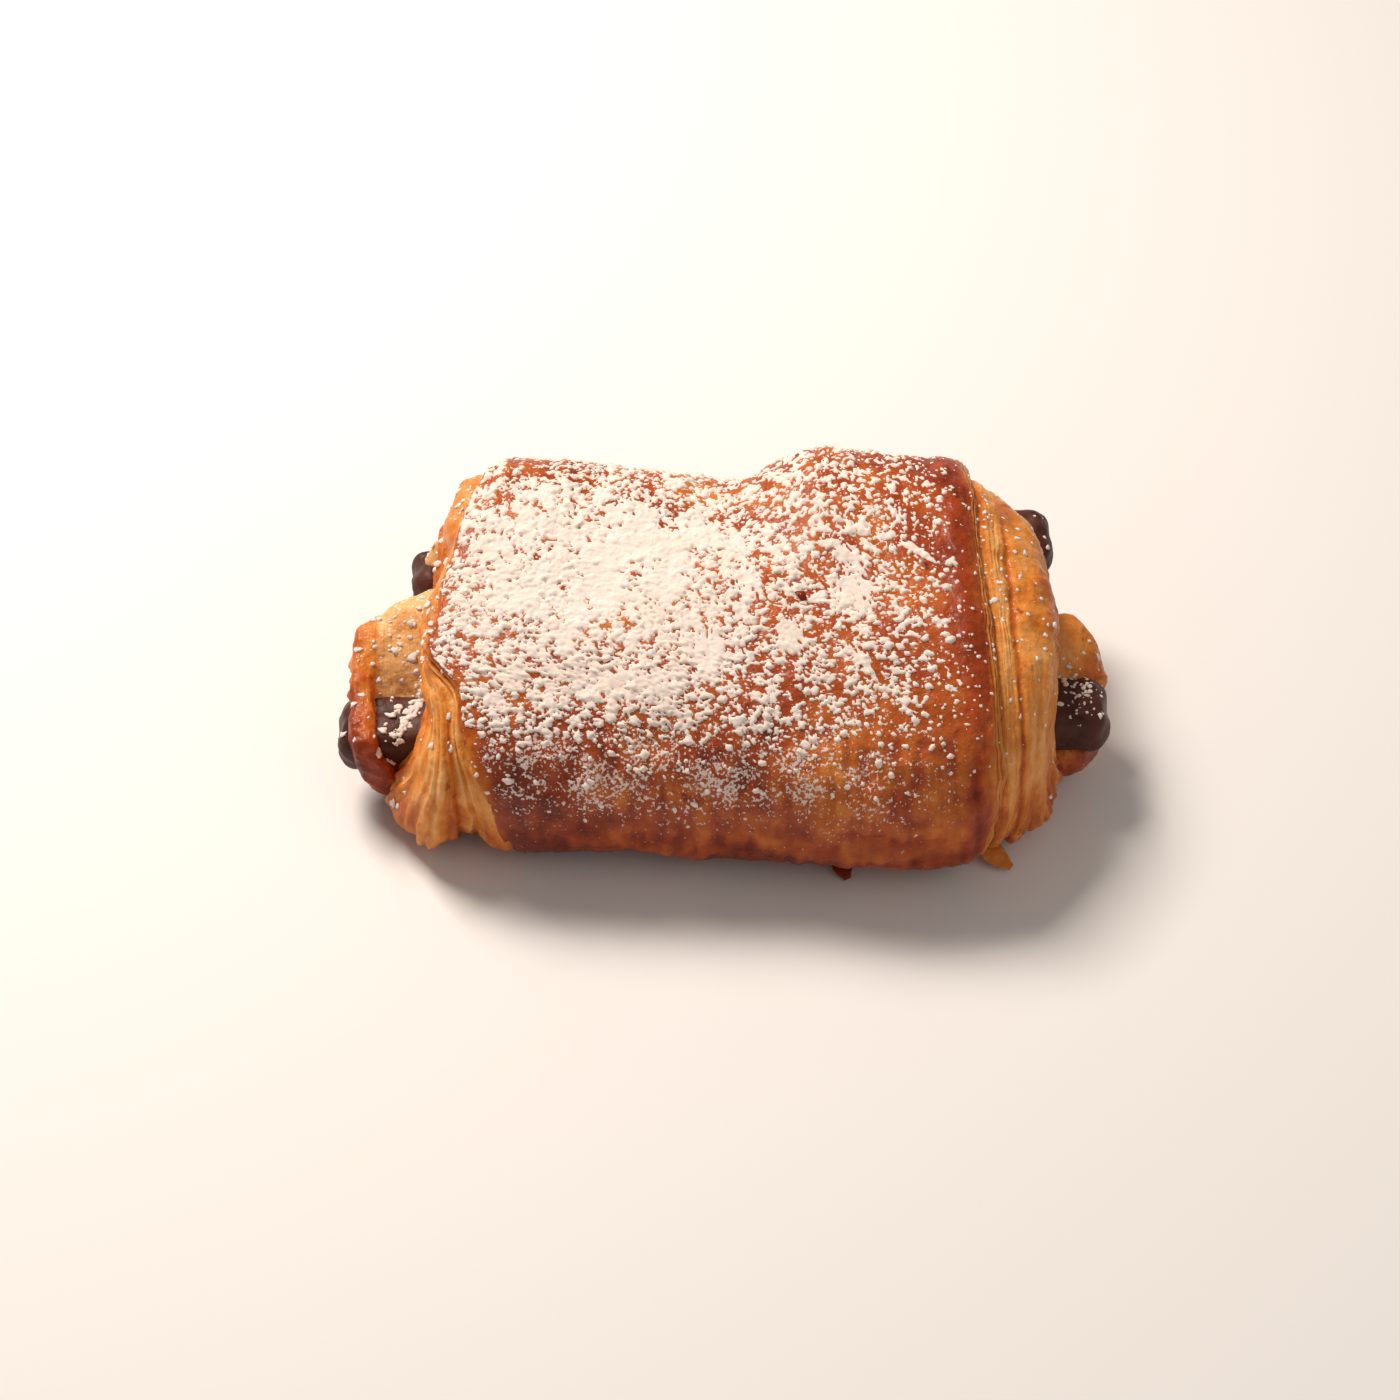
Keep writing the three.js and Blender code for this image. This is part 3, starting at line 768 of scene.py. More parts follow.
def stick_surface(ends, wide, tall, rows, columns, seed):
    """A chocolate stick: a superellipse of this width and height carried along a straight line.

    Its ends close with quarter rounds, where the distance along is one minus a cosine and the
    section shrinks by one minus a sine. Noise roughens it, most where the ends melted.
    """
    start, end = (np.array(p, float) for p in ends)
    angle = np.linspace(0, 2 * math.pi, columns, endpoint=False)
    c, s = np.cos(angle), np.sin(angle)
    flat, upright = (np.abs(c) / (wide / 2)) ** STICK_POWER, (np.abs(s) / (tall / 2)) ** STICK_POWER
    radius = (flat + upright) ** (-1 / STICK_POWER)
    length = np.linalg.norm(end - start)
    bend = np.linspace(0, math.pi / 2, 14)[1:]
    near = STICK_CAP * (1 - np.cos(bend))
    less = STICK_CAP * (1 - np.sin(bend))
    inner = np.linspace(STICK_CAP, length - STICK_CAP, rows)[1:-1]
    along = np.concatenate([near, inner, length - near[::-1]])[:, None]
    shrink = np.concatenate([less, np.zeros(rows - 2), less[::-1]])[:, None]
    middle = start + (end - start) * (along / length)
    size = np.maximum(radius - shrink, 0.05)
    x, y, z = middle[:, :1] + 0 * size, middle[:, 1:2] + size * c, middle[:, 2:] + size * s
    points = np.stack([x, y, z], -1)
    melted = np.maximum(1 - smooth_step(2, 14, along), smooth_step(-14, -2, along - length))
    bump = (0.35 + 0.35 * melted) * layered_noise(points, 5.0, seed, 2)
    bump += 0.08 * noise(points, 1.3, seed + 3)
    return points + normals_of(points, 1) * bump[..., None]


def lamina_surface(path, widths, lean, thickness=0.45, rows=40, columns=16):
    """A loose leaf of pastry: a flat ellipse carried along a smooth path, of changing width.

    lean is the direction across the leaf, squared up to the path. The leaf thins to almost nothing
    at both ends, by the root of one minus the sixth power, and noise crumples it.
    """
    line = resample(path, rows)
    width = resample(widths, rows)[:, None, None]
    lean = np.array(lean, float)
    along = np.gradient(line, axis=0)
    across = lean - along * (along @ lean / np.sum(along**2, -1))[:, None]
    across /= np.linalg.norm(across, axis=-1, keepdims=True)
    face = np.cross(along, across)
    face /= np.linalg.norm(face, axis=-1, keepdims=True)
    angle = np.linspace(0, 2 * math.pi, columns, endpoint=False)[:, None]
    thin = thickness * np.sqrt(np.clip(1 - np.linspace(-1, 1, rows) ** 6, 0.02, 1))[:, None, None]
    points = line[:, None] + 0.5 * width * np.cos(angle) * across[:, None]
    points = points + 0.5 * thin * np.sin(angle) * face[:, None]
    return points + 0.25 * np.stack([noise(points, 2.0, 111 + k) for k in range(3)], -1)


# Loose leaves: path, width at each point of it, direction across it, and bake.
LAMINAE = {
    "left_rear_flap": (
        ((-47.6, 19.0, 29.0), (-49.4, 19.2, 27.9), (-50.9, 19.6, 26.4), (-52.2, 20.3, 24.6)),
        (4.4, 4.4, 3.2, 1.0), (0.0, 0.73, 0.68), 0.05,
    ),
    "front_foot_flake": (
        ((45, -28.0, 3.6), (47.4, -29.9, 2.2), (50.0, -31.8, 1.2)),
        (3.4, 3.6, 1.2), (1, 0.4, 0.1), 0.40,
    ),
    "front_foot_drip": (
        ((20.2, -29.8, 1.7), (20.8, -32.2, 1.3), (21.4, -33.8, 0.7)),
        (3.6, 3.2, 1.2), (1, 0.2, 0), 0.90,
    ),
    "lid_crumb": (
        ((12.2, -2.6, 39.6), (13.0, -3.4, 40.1), (13.6, -4.4, 39.5)),
        (1.0, 1.5, 0.9), (1, 0.3, 0), 1.0,
    ),
}


# ------------------------------------------------------------------ sugar


SUGAR_TURNS = (6, 188)  # directions between which the dusting lies
SUGAR_SHARES = (-0.012, 0.998)  # and its ends along the lid, as shares from edge to edge
SUGAR_THINNEST = 0.03  # height below which the lid stays bare
SUGAR_DIP = 0.16  # how far the dusting's top goes under the crust round its islands
SUGAR_ROOT = 0.4  # depth of its bottom in the crust
SUGAR_PARTS = 5  # bands along X that the dusting is made in
SUGAR_LAP = 0.3  # share of its thickness by which neighbouring bands dip where they overlap

# Where more flecks fell: X, Y of both ends of a line, how many, and how wide they scatter. The
# first is the streak of sugar across the left end of the front stick.
MORE_FLECKS = (
    ((-51.5, -5.5), (-56.5, -16.0), 150, 0.5),
    ((-51.0, -3.0), (-57.0, 6.0), 60, 3.0),
    ((-45.5, 20.0), (-43.5, 33.0), 60, 1.4),
    ((61.0, -3.5), (64.0, -13.0), 90, 2.0),
    ((46.0, 20.0), (48.0, -4.0), 60, 2.5),
)

# Where the sugar was brushed flat: X, Y, half length, half width, and the lean of its streaks
# from the X axis in degrees.
SMEARS = (
    (22, 4, 4.2, 2.2, 130), (33.5, 5.5, 4.0, 1.1, 142), (22.5, -2.5, 4.4, 4.0, 112),
    (23, -16.5, 4.2, 1.2, 125), (-3, -13.5, 5.6, 4.2, 98), (11, -11, 4.0, 2.6, 110), (4, 0, 5, 2.2, 95),
)
FLECK_FIELD = ((-66, -34), (68, 36))  # X and Y between which loose flecks may fall
FLECK_FLOOR = 5  # height below which none is kept
FLECK_STEEPEST = 0.25  # and the least that the crust's normal has to point up
FLECK_LOBES = (-40, 44)  # X outside which the end lobes lie
DROP_HEIGHT = 90.0  # from which places on the crust are looked for

# Share of the lid that sugar covers along X, and how it thins with the direction round the axis.
SUGAR_ALONG = (
    (-51, 0.60), (-46, 0.74), (-40, 0.84), (-30, 0.89), (-12, 0.89), (-4, 0.83), (4, 0.72),
    (14, 0.63), (22, 0.63), (28, 0.57), (33, 0.44), (37, 0.26), (41, 0.10), (44, 0.04),
)
SUGAR_ACROSS = (
    (8, 0), (16, 0.08), (24, 0.30), (32, 0.58), (40, 0.64), (50, 0.82), (62, 1), (95, 1),
    (125, 0.93), (145, 0.90), (150, 0.66), (155, 0.24), (162, 0.09), (172, 0.03), (182, 0),
)
# Rounds of lumps, from large to small: median radius, lumps per square millimetre at full cover,
# and how much they pile up.
LUMP_ROUNDS = ((0.50, 0.75, 0.4), (0.36, 1.7, 0.5), (0.25, 3.0, 0.6), (0.17, 4.5, 0.7))


def sugar_density(x, turn):
    """Share of the lid that sugar covers, by X and the direction round the axis in degrees.

    The product of both tables, a little more in two patches on the left of the top, and less at
    the front of the left end, at the back of the left end and at the front of the right half.
    """
    along = np.interp(x, *zip(*SUGAR_ALONG))
    across = np.interp(turn, *zip(*SUGAR_ACROSS))
    solid = 0.12 * hump(x, -14, 11) * hump(turn, 78, 18) + 0.06 * hump(x, -30, 9) * hump(turn, 95, 12)
    bare = 0.5 * hump(x, -44, 4) * smooth_step(138, 150, turn)
    bare += 0.35 * hump(x, -36, 9) * (1 - smooth_step(36, 52, turn))
    bare += 0.35 * smooth_step(8, 24, x) * smooth_step(138, 152, turn)
    return along * (across * (1 + solid)) * np.clip(1 - bare, 0, 1)


def drift_heights(spots, density):
    """The closed drift: a low blanket wherever density and three sizes of noise add up to enough.

    Small holes stay open in it where the fine noise is lowest.
    """
    broad = layered_noise(spots, 6, 151, 2)
    clumps = noise(spots, 1.5, 153)
    holes = noise(spots, 0.7, 154)
    field = density + 0.20 * broad + 0.17 * clumps + 0.15 * holes
    full = smooth_step(0.80, 0.94, field)
    return full * (0.26 + 0.12 * noise(spots, 3.0, 155) + 0.08 * clumps + 0.03 * holes)


def lump_heights(spots, density, ground, cell):
    """Lumps of powder dropped at random on a grid: small caps, each on what lies there already.

    A cap's height falls off as the square root of one minus its distance squared. How many are
    kept follows minus the logarithm of the bare share, because so many at random leave that share
    bare, and noise gathers them in patches. The rounds pile up, from large to small.
    """
    rng = np.random.default_rng(7)
    rows, columns = density.shape
    ragged = np.clip(noise(spots, 0.6, 125), -0.55, 0.9)
    patchy = layered_noise(spots, 6, 121, 3)
    lumpy = 0.35 + 1.3 * smooth_step(-0.35, 0.35, noise(spots, 2.2, 124))
    heights = ground.copy()
    area = rows * columns * cell * cell
    for median, crowd, pile in LUMP_ROUNDS:
        reach = int(math.ceil(1.7 * median / cell))
        count = int(area * crowd)
        i = rng.integers(reach, rows - reach, count)
        j = rng.integers(reach, columns - reach, count)
        chance = np.clip(density[i, j] * (1 + 0.45 * patchy[i, j]), 0, 0.9)
        kept = rng.random(count) < -np.log(1 - chance) / 2.4 * lumpy[i, j]
        i, j = i[kept], j[kept]
        size = np.clip(median * rng.lognormal(0, 0.30, len(i)), 0.12, 1.6 * median)
        squash = rng.uniform(0.65, 1.0, len(i))
        lean = rng.uniform(0, math.pi, len(i))
        tall = size * rng.uniform(0.4, 0.7, len(i))
        base = pile * heights[i, j]
        shift = rng.uniform(-0.5, 0.5, (2, len(i)))
        for di, dj in np.ndindex(2 * reach + 1, 2 * reach + 1):
            di, dj = di - reach, dj - reach
            across, down = (dj - shift[0]) * cell, (di - shift[1]) * cell
            u = (across * np.cos(lean) + down * np.sin(lean)) / size
            v = (-across * np.sin(lean) + down * np.cos(lean)) / (size * squash)
            away = (u * u + v * v) * (1 + 0.7 * ragged[i + di, j + dj])
            cap = np.where(away < 1, base + tall * np.sqrt(np.clip(1 - away, 0, 1)), 0)
            np.maximum.at(heights, (i + di, j + dj), cap)
    return heights


def smear_heights(x, y):
    """Where the sugar was brushed: flat ellipses whose noisy edges break up into fine streaks."""
    flat = np.zeros_like(x)
    for middle_x, middle_y, long, wide, lean in SMEARS:
        lean = math.radians(lean)
        u = (x - middle_x) * math.cos(lean) + (y - middle_y) * math.sin(lean)
        v = -(x - middle_x) * math.sin(lean) + (y - middle_y) * math.cos(lean)
        streaks = noise(np.stack([u / 5, v, 0 * u], -1), 0.45, 161)
        ragged = 0.9 * streaks + 0.5 * noise(np.stack([u, v, 0 * u], -1), 1.4, 162)
        inside = 1 - (u / long) ** 2 - (v / wide) ** 2 + ragged
        flat = np.maximum(flat, 0.16 * smooth_step(0.25, 0.7, inside) * (1 + 0.5 * streaks))
    return flat


def read_grid(grid, row, column):
    """Bilinear reading of a grid of points at fractional rows and columns; columns close round."""
    i, j = np.floor(row).astype(int), np.floor(column).astype(int)
    u, v = (row - i)[..., None], (column - j)[..., None]
    i2 = np.minimum(i + 1, grid.shape[0] - 1)
    wide = grid.shape[1]
    low = grid[i, j % wide] * (1 - v) + grid[i, (j + 1) % wide] * v
    high = grid[i2, j % wide] * (1 - v) + grid[i2, (j + 1) % wide] * v
    return low * (1 - u) + high * u


def sugar_sheet(lid_rows, columns, cell):
    """The dusting on the lid: the lid's own surface read on a finer grid of square cells.

    Its top is raised by the sugar's height along the lid's normals and its bottom is sunk into the
    crust. The height is the greatest of the drift, the lumps and the smears, plus a fine grain.
    Returns top, bottom and which cells hold sugar.
    """
    lid, _ = lid_surface(lid_rows, columns)
    steps = np.linalg.norm(np.diff(lid[LEFT_RIM_ROWS + lid_rows // 2], axis=0), axis=-1)
    arcs = np.concatenate([[0], np.cumsum(steps)])
    turns = np.linspace(0, 360, columns, endpoint=False)
    first, last = np.interp(SUGAR_TURNS, turns, arcs)
    arc = np.arange(first, last, cell)
    turn = np.interp(arc, arcs, turns)
    length = np.linalg.norm(lid[LEFT_RIM_ROWS, 0] - lid[LEFT_RIM_ROWS + lid_rows - 1, 0])
    share = np.linspace(*SUGAR_SHARES, int(length / cell))
    share, turn = np.meshgrid(share, turn, indexing="ij")
    place = LEFT_RIM_ROWS + share * (lid_rows - 1), turn / 360 * columns
    ground = read_grid(lid, *place)
    facing = read_grid(normals_of(lid, 1), *place)
    x = ground[..., 0]
    spots = np.stack([x, np.broadcast_to(arc, x.shape), 0 * x], -1)
    density = sugar_density(x, turn)
    heights = lump_heights(spots, density, drift_heights(spots, density), cell)
    heights = np.maximum(heights, smear_heights(x, ground[..., 1]))
    sugared = heights > SUGAR_THINNEST
    grain = 0.04 * noise(ground, 0.5, 126)
    lift = np.where(sugared, heights + grain, -SUGAR_DIP)[..., None]
    filled = sugared[:-1, :-1] | sugared[1:, 1:] | sugared[:-1, 1:] | sugared[1:, :-1]
    return ground + lift * facing, ground - SUGAR_ROOT * facing, filled


def dusting_bands(top, bottom, filled):
    """Cuts the dusting into bands along X that overlap by a ring, each made into closed islands.

    Where two bands overlap, their outermost rings dip by a share of the sugar's thickness.
    """
    cuts = np.linspace(0, len(top) - 1, SUGAR_PARTS + 1).astype(int)
    for k in range(SUGAR_PARTS):
        start = max(cuts[k] - 1, 0)
        stop = min(cuts[k + 1] + 2, len(top))
        part = top[start:stop].copy()
        sunk = SUGAR_LAP * (part - bottom[start:stop])
        if k > 0:
            part[0] -= sunk[0]
        if k < SUGAR_PARTS - 1:
            part[-1] -= sunk[-1]
        yield islands(part, bottom[start:stop], filled[start : stop - 1])


def drop_on(tree, x, y):
    """Height and normal of the crust under each place (x, y), by dropping a ray; NaN where none."""
    height = np.full(x.shape, np.nan)
    normal = np.zeros(x.shape + (3,))
    down = Vector((0, 0, -1))
    for k in np.ndindex(x.shape):
        place, facing, _, _ = tree.ray_cast(Vector((x[k], y[k], DROP_HEIGHT)), down)
        if place is not None:
            height[k] = place.z
            normal[k] = facing
    return height, normal


def crust_tree(pieces):
    """One search tree of the given pieces, in millimetres on the roll's axes."""
    points, faces, base = [], [], 0
    for piece in pieces:
        mesh = piece.data
        flat = np.empty(len(mesh.vertices) * 3)
        mesh.vertices.foreach_get("co", flat)
        points.append(flat.reshape(-1, 3) / MM - PLACE)
        faces.extend([[base + v for v in face.vertices] for face in mesh.polygons])
        base += len(mesh.vertices)
    return BVHTree.FromPolygons(np.concatenate(points).tolist(), faces)


def islands(top, bottom, filled):
    """Closed islands over the filled cells of a grid: a top, a bottom and walls between them.

    A cell is added wherever two filled cells touch only at a corner, so every edge has two faces.
    """
    cells = filled.copy()
    for _ in range(4):
        pair = cells[:-1, :-1] & cells[1:, 1:] & ~cells[:-1, 1:] & ~cells[1:, :-1]
        cells[:-1, 1:] |= pair
        pair = cells[:-1, 1:] & cells[1:, :-1] & ~cells[:-1, :-1] & ~cells[1:, 1:]
        cells[:-1, :-1] |= pair
    count = top.shape[0] * top.shape[1]
    index = np.arange(count).reshape(top.shape[:2])
    quads = np.stack([
        index[:-1, :-1][cells], index[:-1, 1:][cells], index[1:, 1:][cells], index[1:, :-1][cells],
    ], -1)
    edges = np.concatenate([quads[:, [k, (k + 1) % 4]] for k in range(4)])
    code = edges[:, 0] * count + edges[:, 1]
    rim = edges[~np.isin(code, edges[:, 1] * count + edges[:, 0])]
    walls = np.stack([rim[:, 1], rim[:, 0], rim[:, 0] + count, rim[:, 1] + count], -1)
    faces = np.concatenate([quads, quads[:, ::-1] + count, walls])
    points = np.concatenate([top.reshape(-1, 3), bottom.reshape(-1, 3)])
    used, faces = np.unique(faces, return_inverse=True)
    return points[used], faces.reshape(-1, 4)


def fleck_places(rng, tree, count):
    """Where loose flecks lie: scattered along the lines of MORE_FLECKS, then over the whole pastry.

    A fleck is kept where the crust is off the floor and faces up, and some are dropped at random.
    Returns centres, the crust's normals there and sizes, which are larger on the end lobes. On the
    left lobe the larger flecks are partly sugar and partly painted glints of the glaze.
    """
    spots = []
    for start, end, number, scatter in MORE_FLECKS:
        share = rng.random((number, 1))
        line = np.array(start) * (1 - share) + np.array(end) * share
        spots.append(line + scatter * rng.standard_normal((number, 2)))
    spots.append(rng.uniform(*FLECK_FIELD, (count * 4, 2)))
    spot = np.concatenate(spots)
    ground, normal = drop_on(tree, spot[:, 0], spot[:, 1])
    lobe = (spot[:, 0] < FLECK_LOBES[0]) | (spot[:, 0] > FLECK_LOBES[1])
    kept = np.isfinite(ground) & (normal[:, 2] > FLECK_STEEPEST) & (ground > FLECK_FLOOR)
    kept &= rng.random(len(spot)) < np.where(lobe, 0.7, 0.8)
    kept = np.flatnonzero(kept)[:count]
    centres = np.column_stack([spot[kept], ground[kept]])
    sizes = np.clip(rng.lognormal(-1.5, 0.5, len(kept)), 0.09, 0.42)
    # Larger flecks on the left lobe: partly sugar, partly painted glints of its glaze.
    sizes *= 1 + 0.9 * (centres[:, 0] < -45) + 0.2 * (centres[:, 0] > FLECK_LOBES[1])
    return centres, normal[kept], sizes


def fleck_shape(columns=7, rings=4):
    """Unit sphere of few faces: rings of latitude between two poles.

    Each point is cosine latitude times cosine and sine of longitude, and sine latitude up.
    """
    lat = np.linspace(-math.pi / 2, math.pi / 2, rings + 2)[1:-1]
    lon = np.linspace(0, 2 * math.pi, columns, endpoint=False)
    lat, lon = np.meshgrid(lat, lon, indexing="ij")
    points = np.stack([np.cos(lat) * np.cos(lon), np.cos(lat) * np.sin(lon), np.sin(lat)], -1)
    points, faces, _ = closed_grid(points, 1)
    points[-2:] = ((0, 0, -1), (0, 0, 1))
    return points, faces


def fleck_cloud(centres, normals, sizes, rng):
    """Copies of the fleck, flattened against the crust, each with its own uneven radii.

    Each is centre + side times x + other times y + normal times z, where side and other span the
    crust and x, y and z are the fleck's own coordinates, stretched by its width and its size.
    """
    shape, faces = fleck_shape()
    count = len(centres)
    uneven = 1 + 0.32 * rng.standard_normal((count, len(shape), 1)).clip(-1.6, 1.6)
    side = np.cross(normals, (0.3, 0.8, 0.1))
    side /= np.linalg.norm(side, axis=-1, keepdims=True)
    other = np.cross(normals, side)
    wide = rng.uniform(0.65, 1.25, (count, 2)) * sizes[:, None]
    local = shape[None] * uneven
    points = centres[:, None] + local[..., :1] * (side * wide[:, :1])[:, None]
    points = points + local[..., 1:2] * (other * wide[:, 1:])[:, None]
    points = points + local[..., 2:] * (normals * sizes[:, None] * 0.38)[:, None]
    copies = [[v + k * len(shape) for v in face] for k in range(count) for face in faces]
    return points.reshape(-1, 3), copies


# ------------------------------------------------------------------ materials


class Nodes:
    """Adds nodes and links to one material, with positions left to right as they are made."""

    def __init__(self, name):
        self.material = bpy.data.materials.new(name)
        self.material.use_nodes = True
        self.tree = self.material.node_tree
        self.shader = self.tree.nodes["Principled BSDF"]
        self.count = 0

    def add(self, kind, inputs=None, **settings):
        """A new node with these settings and inputs."""
        node = self.tree.nodes.new(kind)
        node.location = (-1400 + 160 * (self.count % 8), 400 - 260 * (self.count // 8))
        self.count += 1
        for key, value in settings.items():
            setattr(node, key, value)
        for key, value in (inputs or {}).items():
            self.set(node.inputs[key], value)
        return node

    def set(self, socket, value):
        """Links a socket to an output, or sets it to a constant."""
        if isinstance(value, bpy.types.NodeSocket):
            self.tree.links.new(value, socket)
        else:
            socket.default_value = value

    def place(self):
        """Object coordinates, in metres."""
        return self.add("ShaderNodeTexCoord").outputs["Object"]

    def scaled(self, vector, scale):
        """The vector times one number."""
        node = self.add("ShaderNodeMapping", {"Vector": vector, "Scale": (scale, scale, scale)})
        return node.outputs["Vector"]

    def attribute(self, name):
        """One of the mesh's attributes."""
        return self.add("ShaderNodeAttribute", attribute_name=name).outputs["Fac"]

    def noise(self, vector, size, detail=3.0, roughness=0.55):
        """Noise whose features are about size metres across."""
        node = self.add("ShaderNodeTexNoise", {
            "Vector": vector, "Scale": 1 / size, "Detail": detail, "Roughness": roughness,
        })
        return node.outputs["Fac"]

    def math(self, operation, a, b=0.0, clamp=False):
        """A sum, a product or the like, kept between 0 and 1 if clamped."""
        node = self.add("ShaderNodeMath", operation=operation, use_clamp=clamp)
        self.set(node.inputs[0], a)
        self.set(node.inputs[1], b)
        return node.outputs[0]

    def spread(self, value, low, high, to_low=0.0, to_high=1.0):
        """The value, spread from low and high to two new ends and kept between them."""
        node = self.add("ShaderNodeMapRange", {
            "Value": value, "From Min": low, "From Max": high, "To Min": to_low, "To Max": to_high,
        })
        return node.outputs["Result"]

    def ramp(self, value, stops):
        """A colour from stops of place and colour."""
        node = self.add("ShaderNodeValToRGB", {"Fac": value})
        elements = node.color_ramp.elements
        while len(elements) < len(stops):
            elements.new(0.5)
        for element, (place, colour) in zip(elements, stops):
            element.position = place
            element.color = (*colour, 1)
        return node.outputs["Color"]

    def mix(self, share, a, b):
        """Colour a, turning into colour b as the share rises."""
        node = self.add("ShaderNodeMix", data_type="RGBA")
        self.set(node.inputs["Factor"], share)
        for key, value in ((6, a), (7, b)):
            self.set(node.inputs[key], value if isinstance(value, bpy.types.NodeSocket) else (*value, 1))
        return node.outputs[2]

    def bump(self, height, distance, strength, normal=None):
        """A normal tilted by a height of this many metres."""
        inputs = {"Height": height, "Distance": distance, "Strength": strength}
        if normal is not None:
            inputs["Normal"] = normal
        return self.add("ShaderNodeBump", inputs).outputs["Normal"]

    def shade(self, values):
        """Sets the shader's sockets, each to a constant or to what a node gives."""
        for key, value in values.items():
            self.set(self.shader.inputs[key], value)
        return self.material


def leaf_lines_and_groove_shade(n, place):
    """Thin lines of layers, about 0 in the middle: 4D noise that runs on with layer, by flake. They
    raise the layers by bump and, where low, darken the dough as painted shade in the grooves.
    """
    along = n.math("MULTIPLY", n.attribute("layer"), 6.0)
    lines = n.add("ShaderNodeTexNoise", {
        "Vector": n.scaled(place, 160), "W": along, "Scale": 1.0, "Detail": 2.0,
    }, noise_dimensions="4D").outputs["Fac"]
    return n.math("MULTIPLY", n.math("SUBTRACT", lines, 0.5), n.attribute("flake"))


def baked_colour(n, place, lines, colours):
    """Crumb to dark crust along how dark the dough is, with mottling, freckles, burnt specks and the
    leaf lines, whose low parts darken it as painted shade in the grooves between layers.
    """
    tone = n.attribute("bake_and_shade")
    tone = n.math("ADD", tone, n.spread(n.noise(place, 0.009, 4, 0.6), 0.3, 0.7, -0.11, 0.11))
    tone = n.math("ADD", tone, n.spread(n.noise(place, 0.0014, 3, 0.6), 0.35, 0.7, -0.04, 0.06))
    tone = n.math("ADD", tone, n.spread(n.noise(place, 0.0032, 2, 0.5), 0.69, 0.76, 0.0, 0.28))
    # Low leaf lines darken the tone: painted shade in the grooves between layers.
    tone = n.math("ADD", tone, n.math("MULTIPLY", lines, -0.8), clamp=True)
    return n.ramp(tone, (
        (0.0, colours.crumb), (0.28, colours.golden), (0.5, colours.amber),
        (0.74, colours.crust), (1.0, colours.dark_crust),
    ))


def dust_cover(n, place):
    """How much fine sugar covers a spot: separate grains and a faint even veil.

    A grain shows where fine noise tops a level, and the level falls as dust rises.
    """
    haze = n.noise(place, 0.005, 4, 0.65)
    reach = n.math("MULTIPLY", n.attribute("dust"), n.spread(haze, 0.36, 0.60, 0.35, 1.15))
    level = n.math("SUBTRACT", 0.74, n.math("MULTIPLY", reach, 0.30))
    grain = n.noise(place, 0.0006, 2, 0.6)
    cover = n.spread(n.math("SUBTRACT", grain, level), 0.0, 0.05, 0.0, 0.8)
    return n.math("ADD", cover, n.math("MULTIPLY", reach, 0.03), clamp=True)


def dough_material(colours):
    """Baked laminated dough: colour follows how dark it is baked and painted shade, under a dusting
    and a thin uneven egg glaze.
    """
    n = Nodes("Baked dough")
    place = n.place()
    lines = leaf_lines_and_groove_shade(n, place)
    cover = dust_cover(n, place)
    rough = n.spread(n.noise(place, 0.003, 3), 0.35, 0.65, 0.36, 0.56)
    relief = n.bump(n.noise(place, 0.0010, 3, 0.6), 0.0005, 0.45)
    relief = n.bump(lines, 0.0012, 0.5, relief)
    return n.shade({
        "Base Color": n.mix(cover, baked_colour(n, place, lines, colours), colours.sugar),
        "Roughness": n.math("ADD", rough, n.math("MULTIPLY", cover, 0.4), clamp=True),
        "Specular IOR Level": 0.14,
        "Coat Weight": 0.34,
        "Coat Roughness": 0.11,
        "Coat IOR": 1.4,
        "Subsurface Weight": 0.15,
        "Subsurface Radius": (1.0, 0.4, 0.1),
        "Subsurface Scale": 0.0025,
        "Normal": n.bump(n.noise(place, 0.0035, 3, 0.6), 0.0014, 0.35, relief),
        "Coat Normal": n.bump(n.noise(place, 0.0016, 3, 0.6), 0.0012, 0.5),
    })


def chocolate_material(colours):
    """Dark chocolate that melted and set again: soft sheen, cloudy bloom and small pits."""
    n = Nodes("Dark chocolate")
    place = n.place()
    bloom = n.noise(place, 0.004, 4, 0.6)
    pits = n.bump(n.noise(place, 0.0008, 4, 0.6), 0.0003, 0.4)
    return n.shade({
        "Base Color": n.ramp(bloom, ((0.25, colours.chocolate_dark), (0.75, colours.chocolate))),
        "Roughness": n.spread(bloom, 0.3, 0.7, 0.36, 0.54),
        "Specular IOR Level": 0.22,
        "Normal": n.bump(n.noise(place, 0.003, 3), 0.0008, 0.35, pits),
    })


def sugar_material(colours):
    """Icing sugar: matt warm white powder with a fine grain, softly lit from within."""
    n = Nodes("Icing sugar")
    place = n.place()
    damp = n.spread(n.noise(place, 0.007, 3, 0.6), 0.4, 0.75)
    return n.shade({
        "Base Color": n.mix(damp, colours.sugar, colours.sugar_damp),
        "Roughness": 0.95,
        "Specular IOR Level": 0.15,
        "Subsurface Weight": 0.25,
        "Subsurface Radius": (1.0, 0.75, 0.6),
        "Subsurface Scale": 0.0006,
        "Normal": n.bump(n.noise(place, 0.00035, 3, 0.7), 0.0002, 0.5),
    })


def floor_material(name, colour, roughness):
    """One plain matt colour."""
    return Nodes(name).shade({"Base Color": (*colour, 1), "Roughness": roughness})


def material(name):
    """The named material, made from the colour settings when it is first asked for."""
    makers = {
        "Baked dough": dough_material,
        "Dark chocolate": chocolate_material,
        "Icing sugar": sugar_material,
    }
    return bpy.data.materials.get(name) or makers[name](bpy.context.scene.bakery_colours)


# ------------------------------------------------------------------ settings


def colour_property(name, description, default):
    """A colour that the user can change."""
    return FloatVectorProperty(
        name=name, description=description, default=default, subtype="COLOR", min=0, max=1
    )


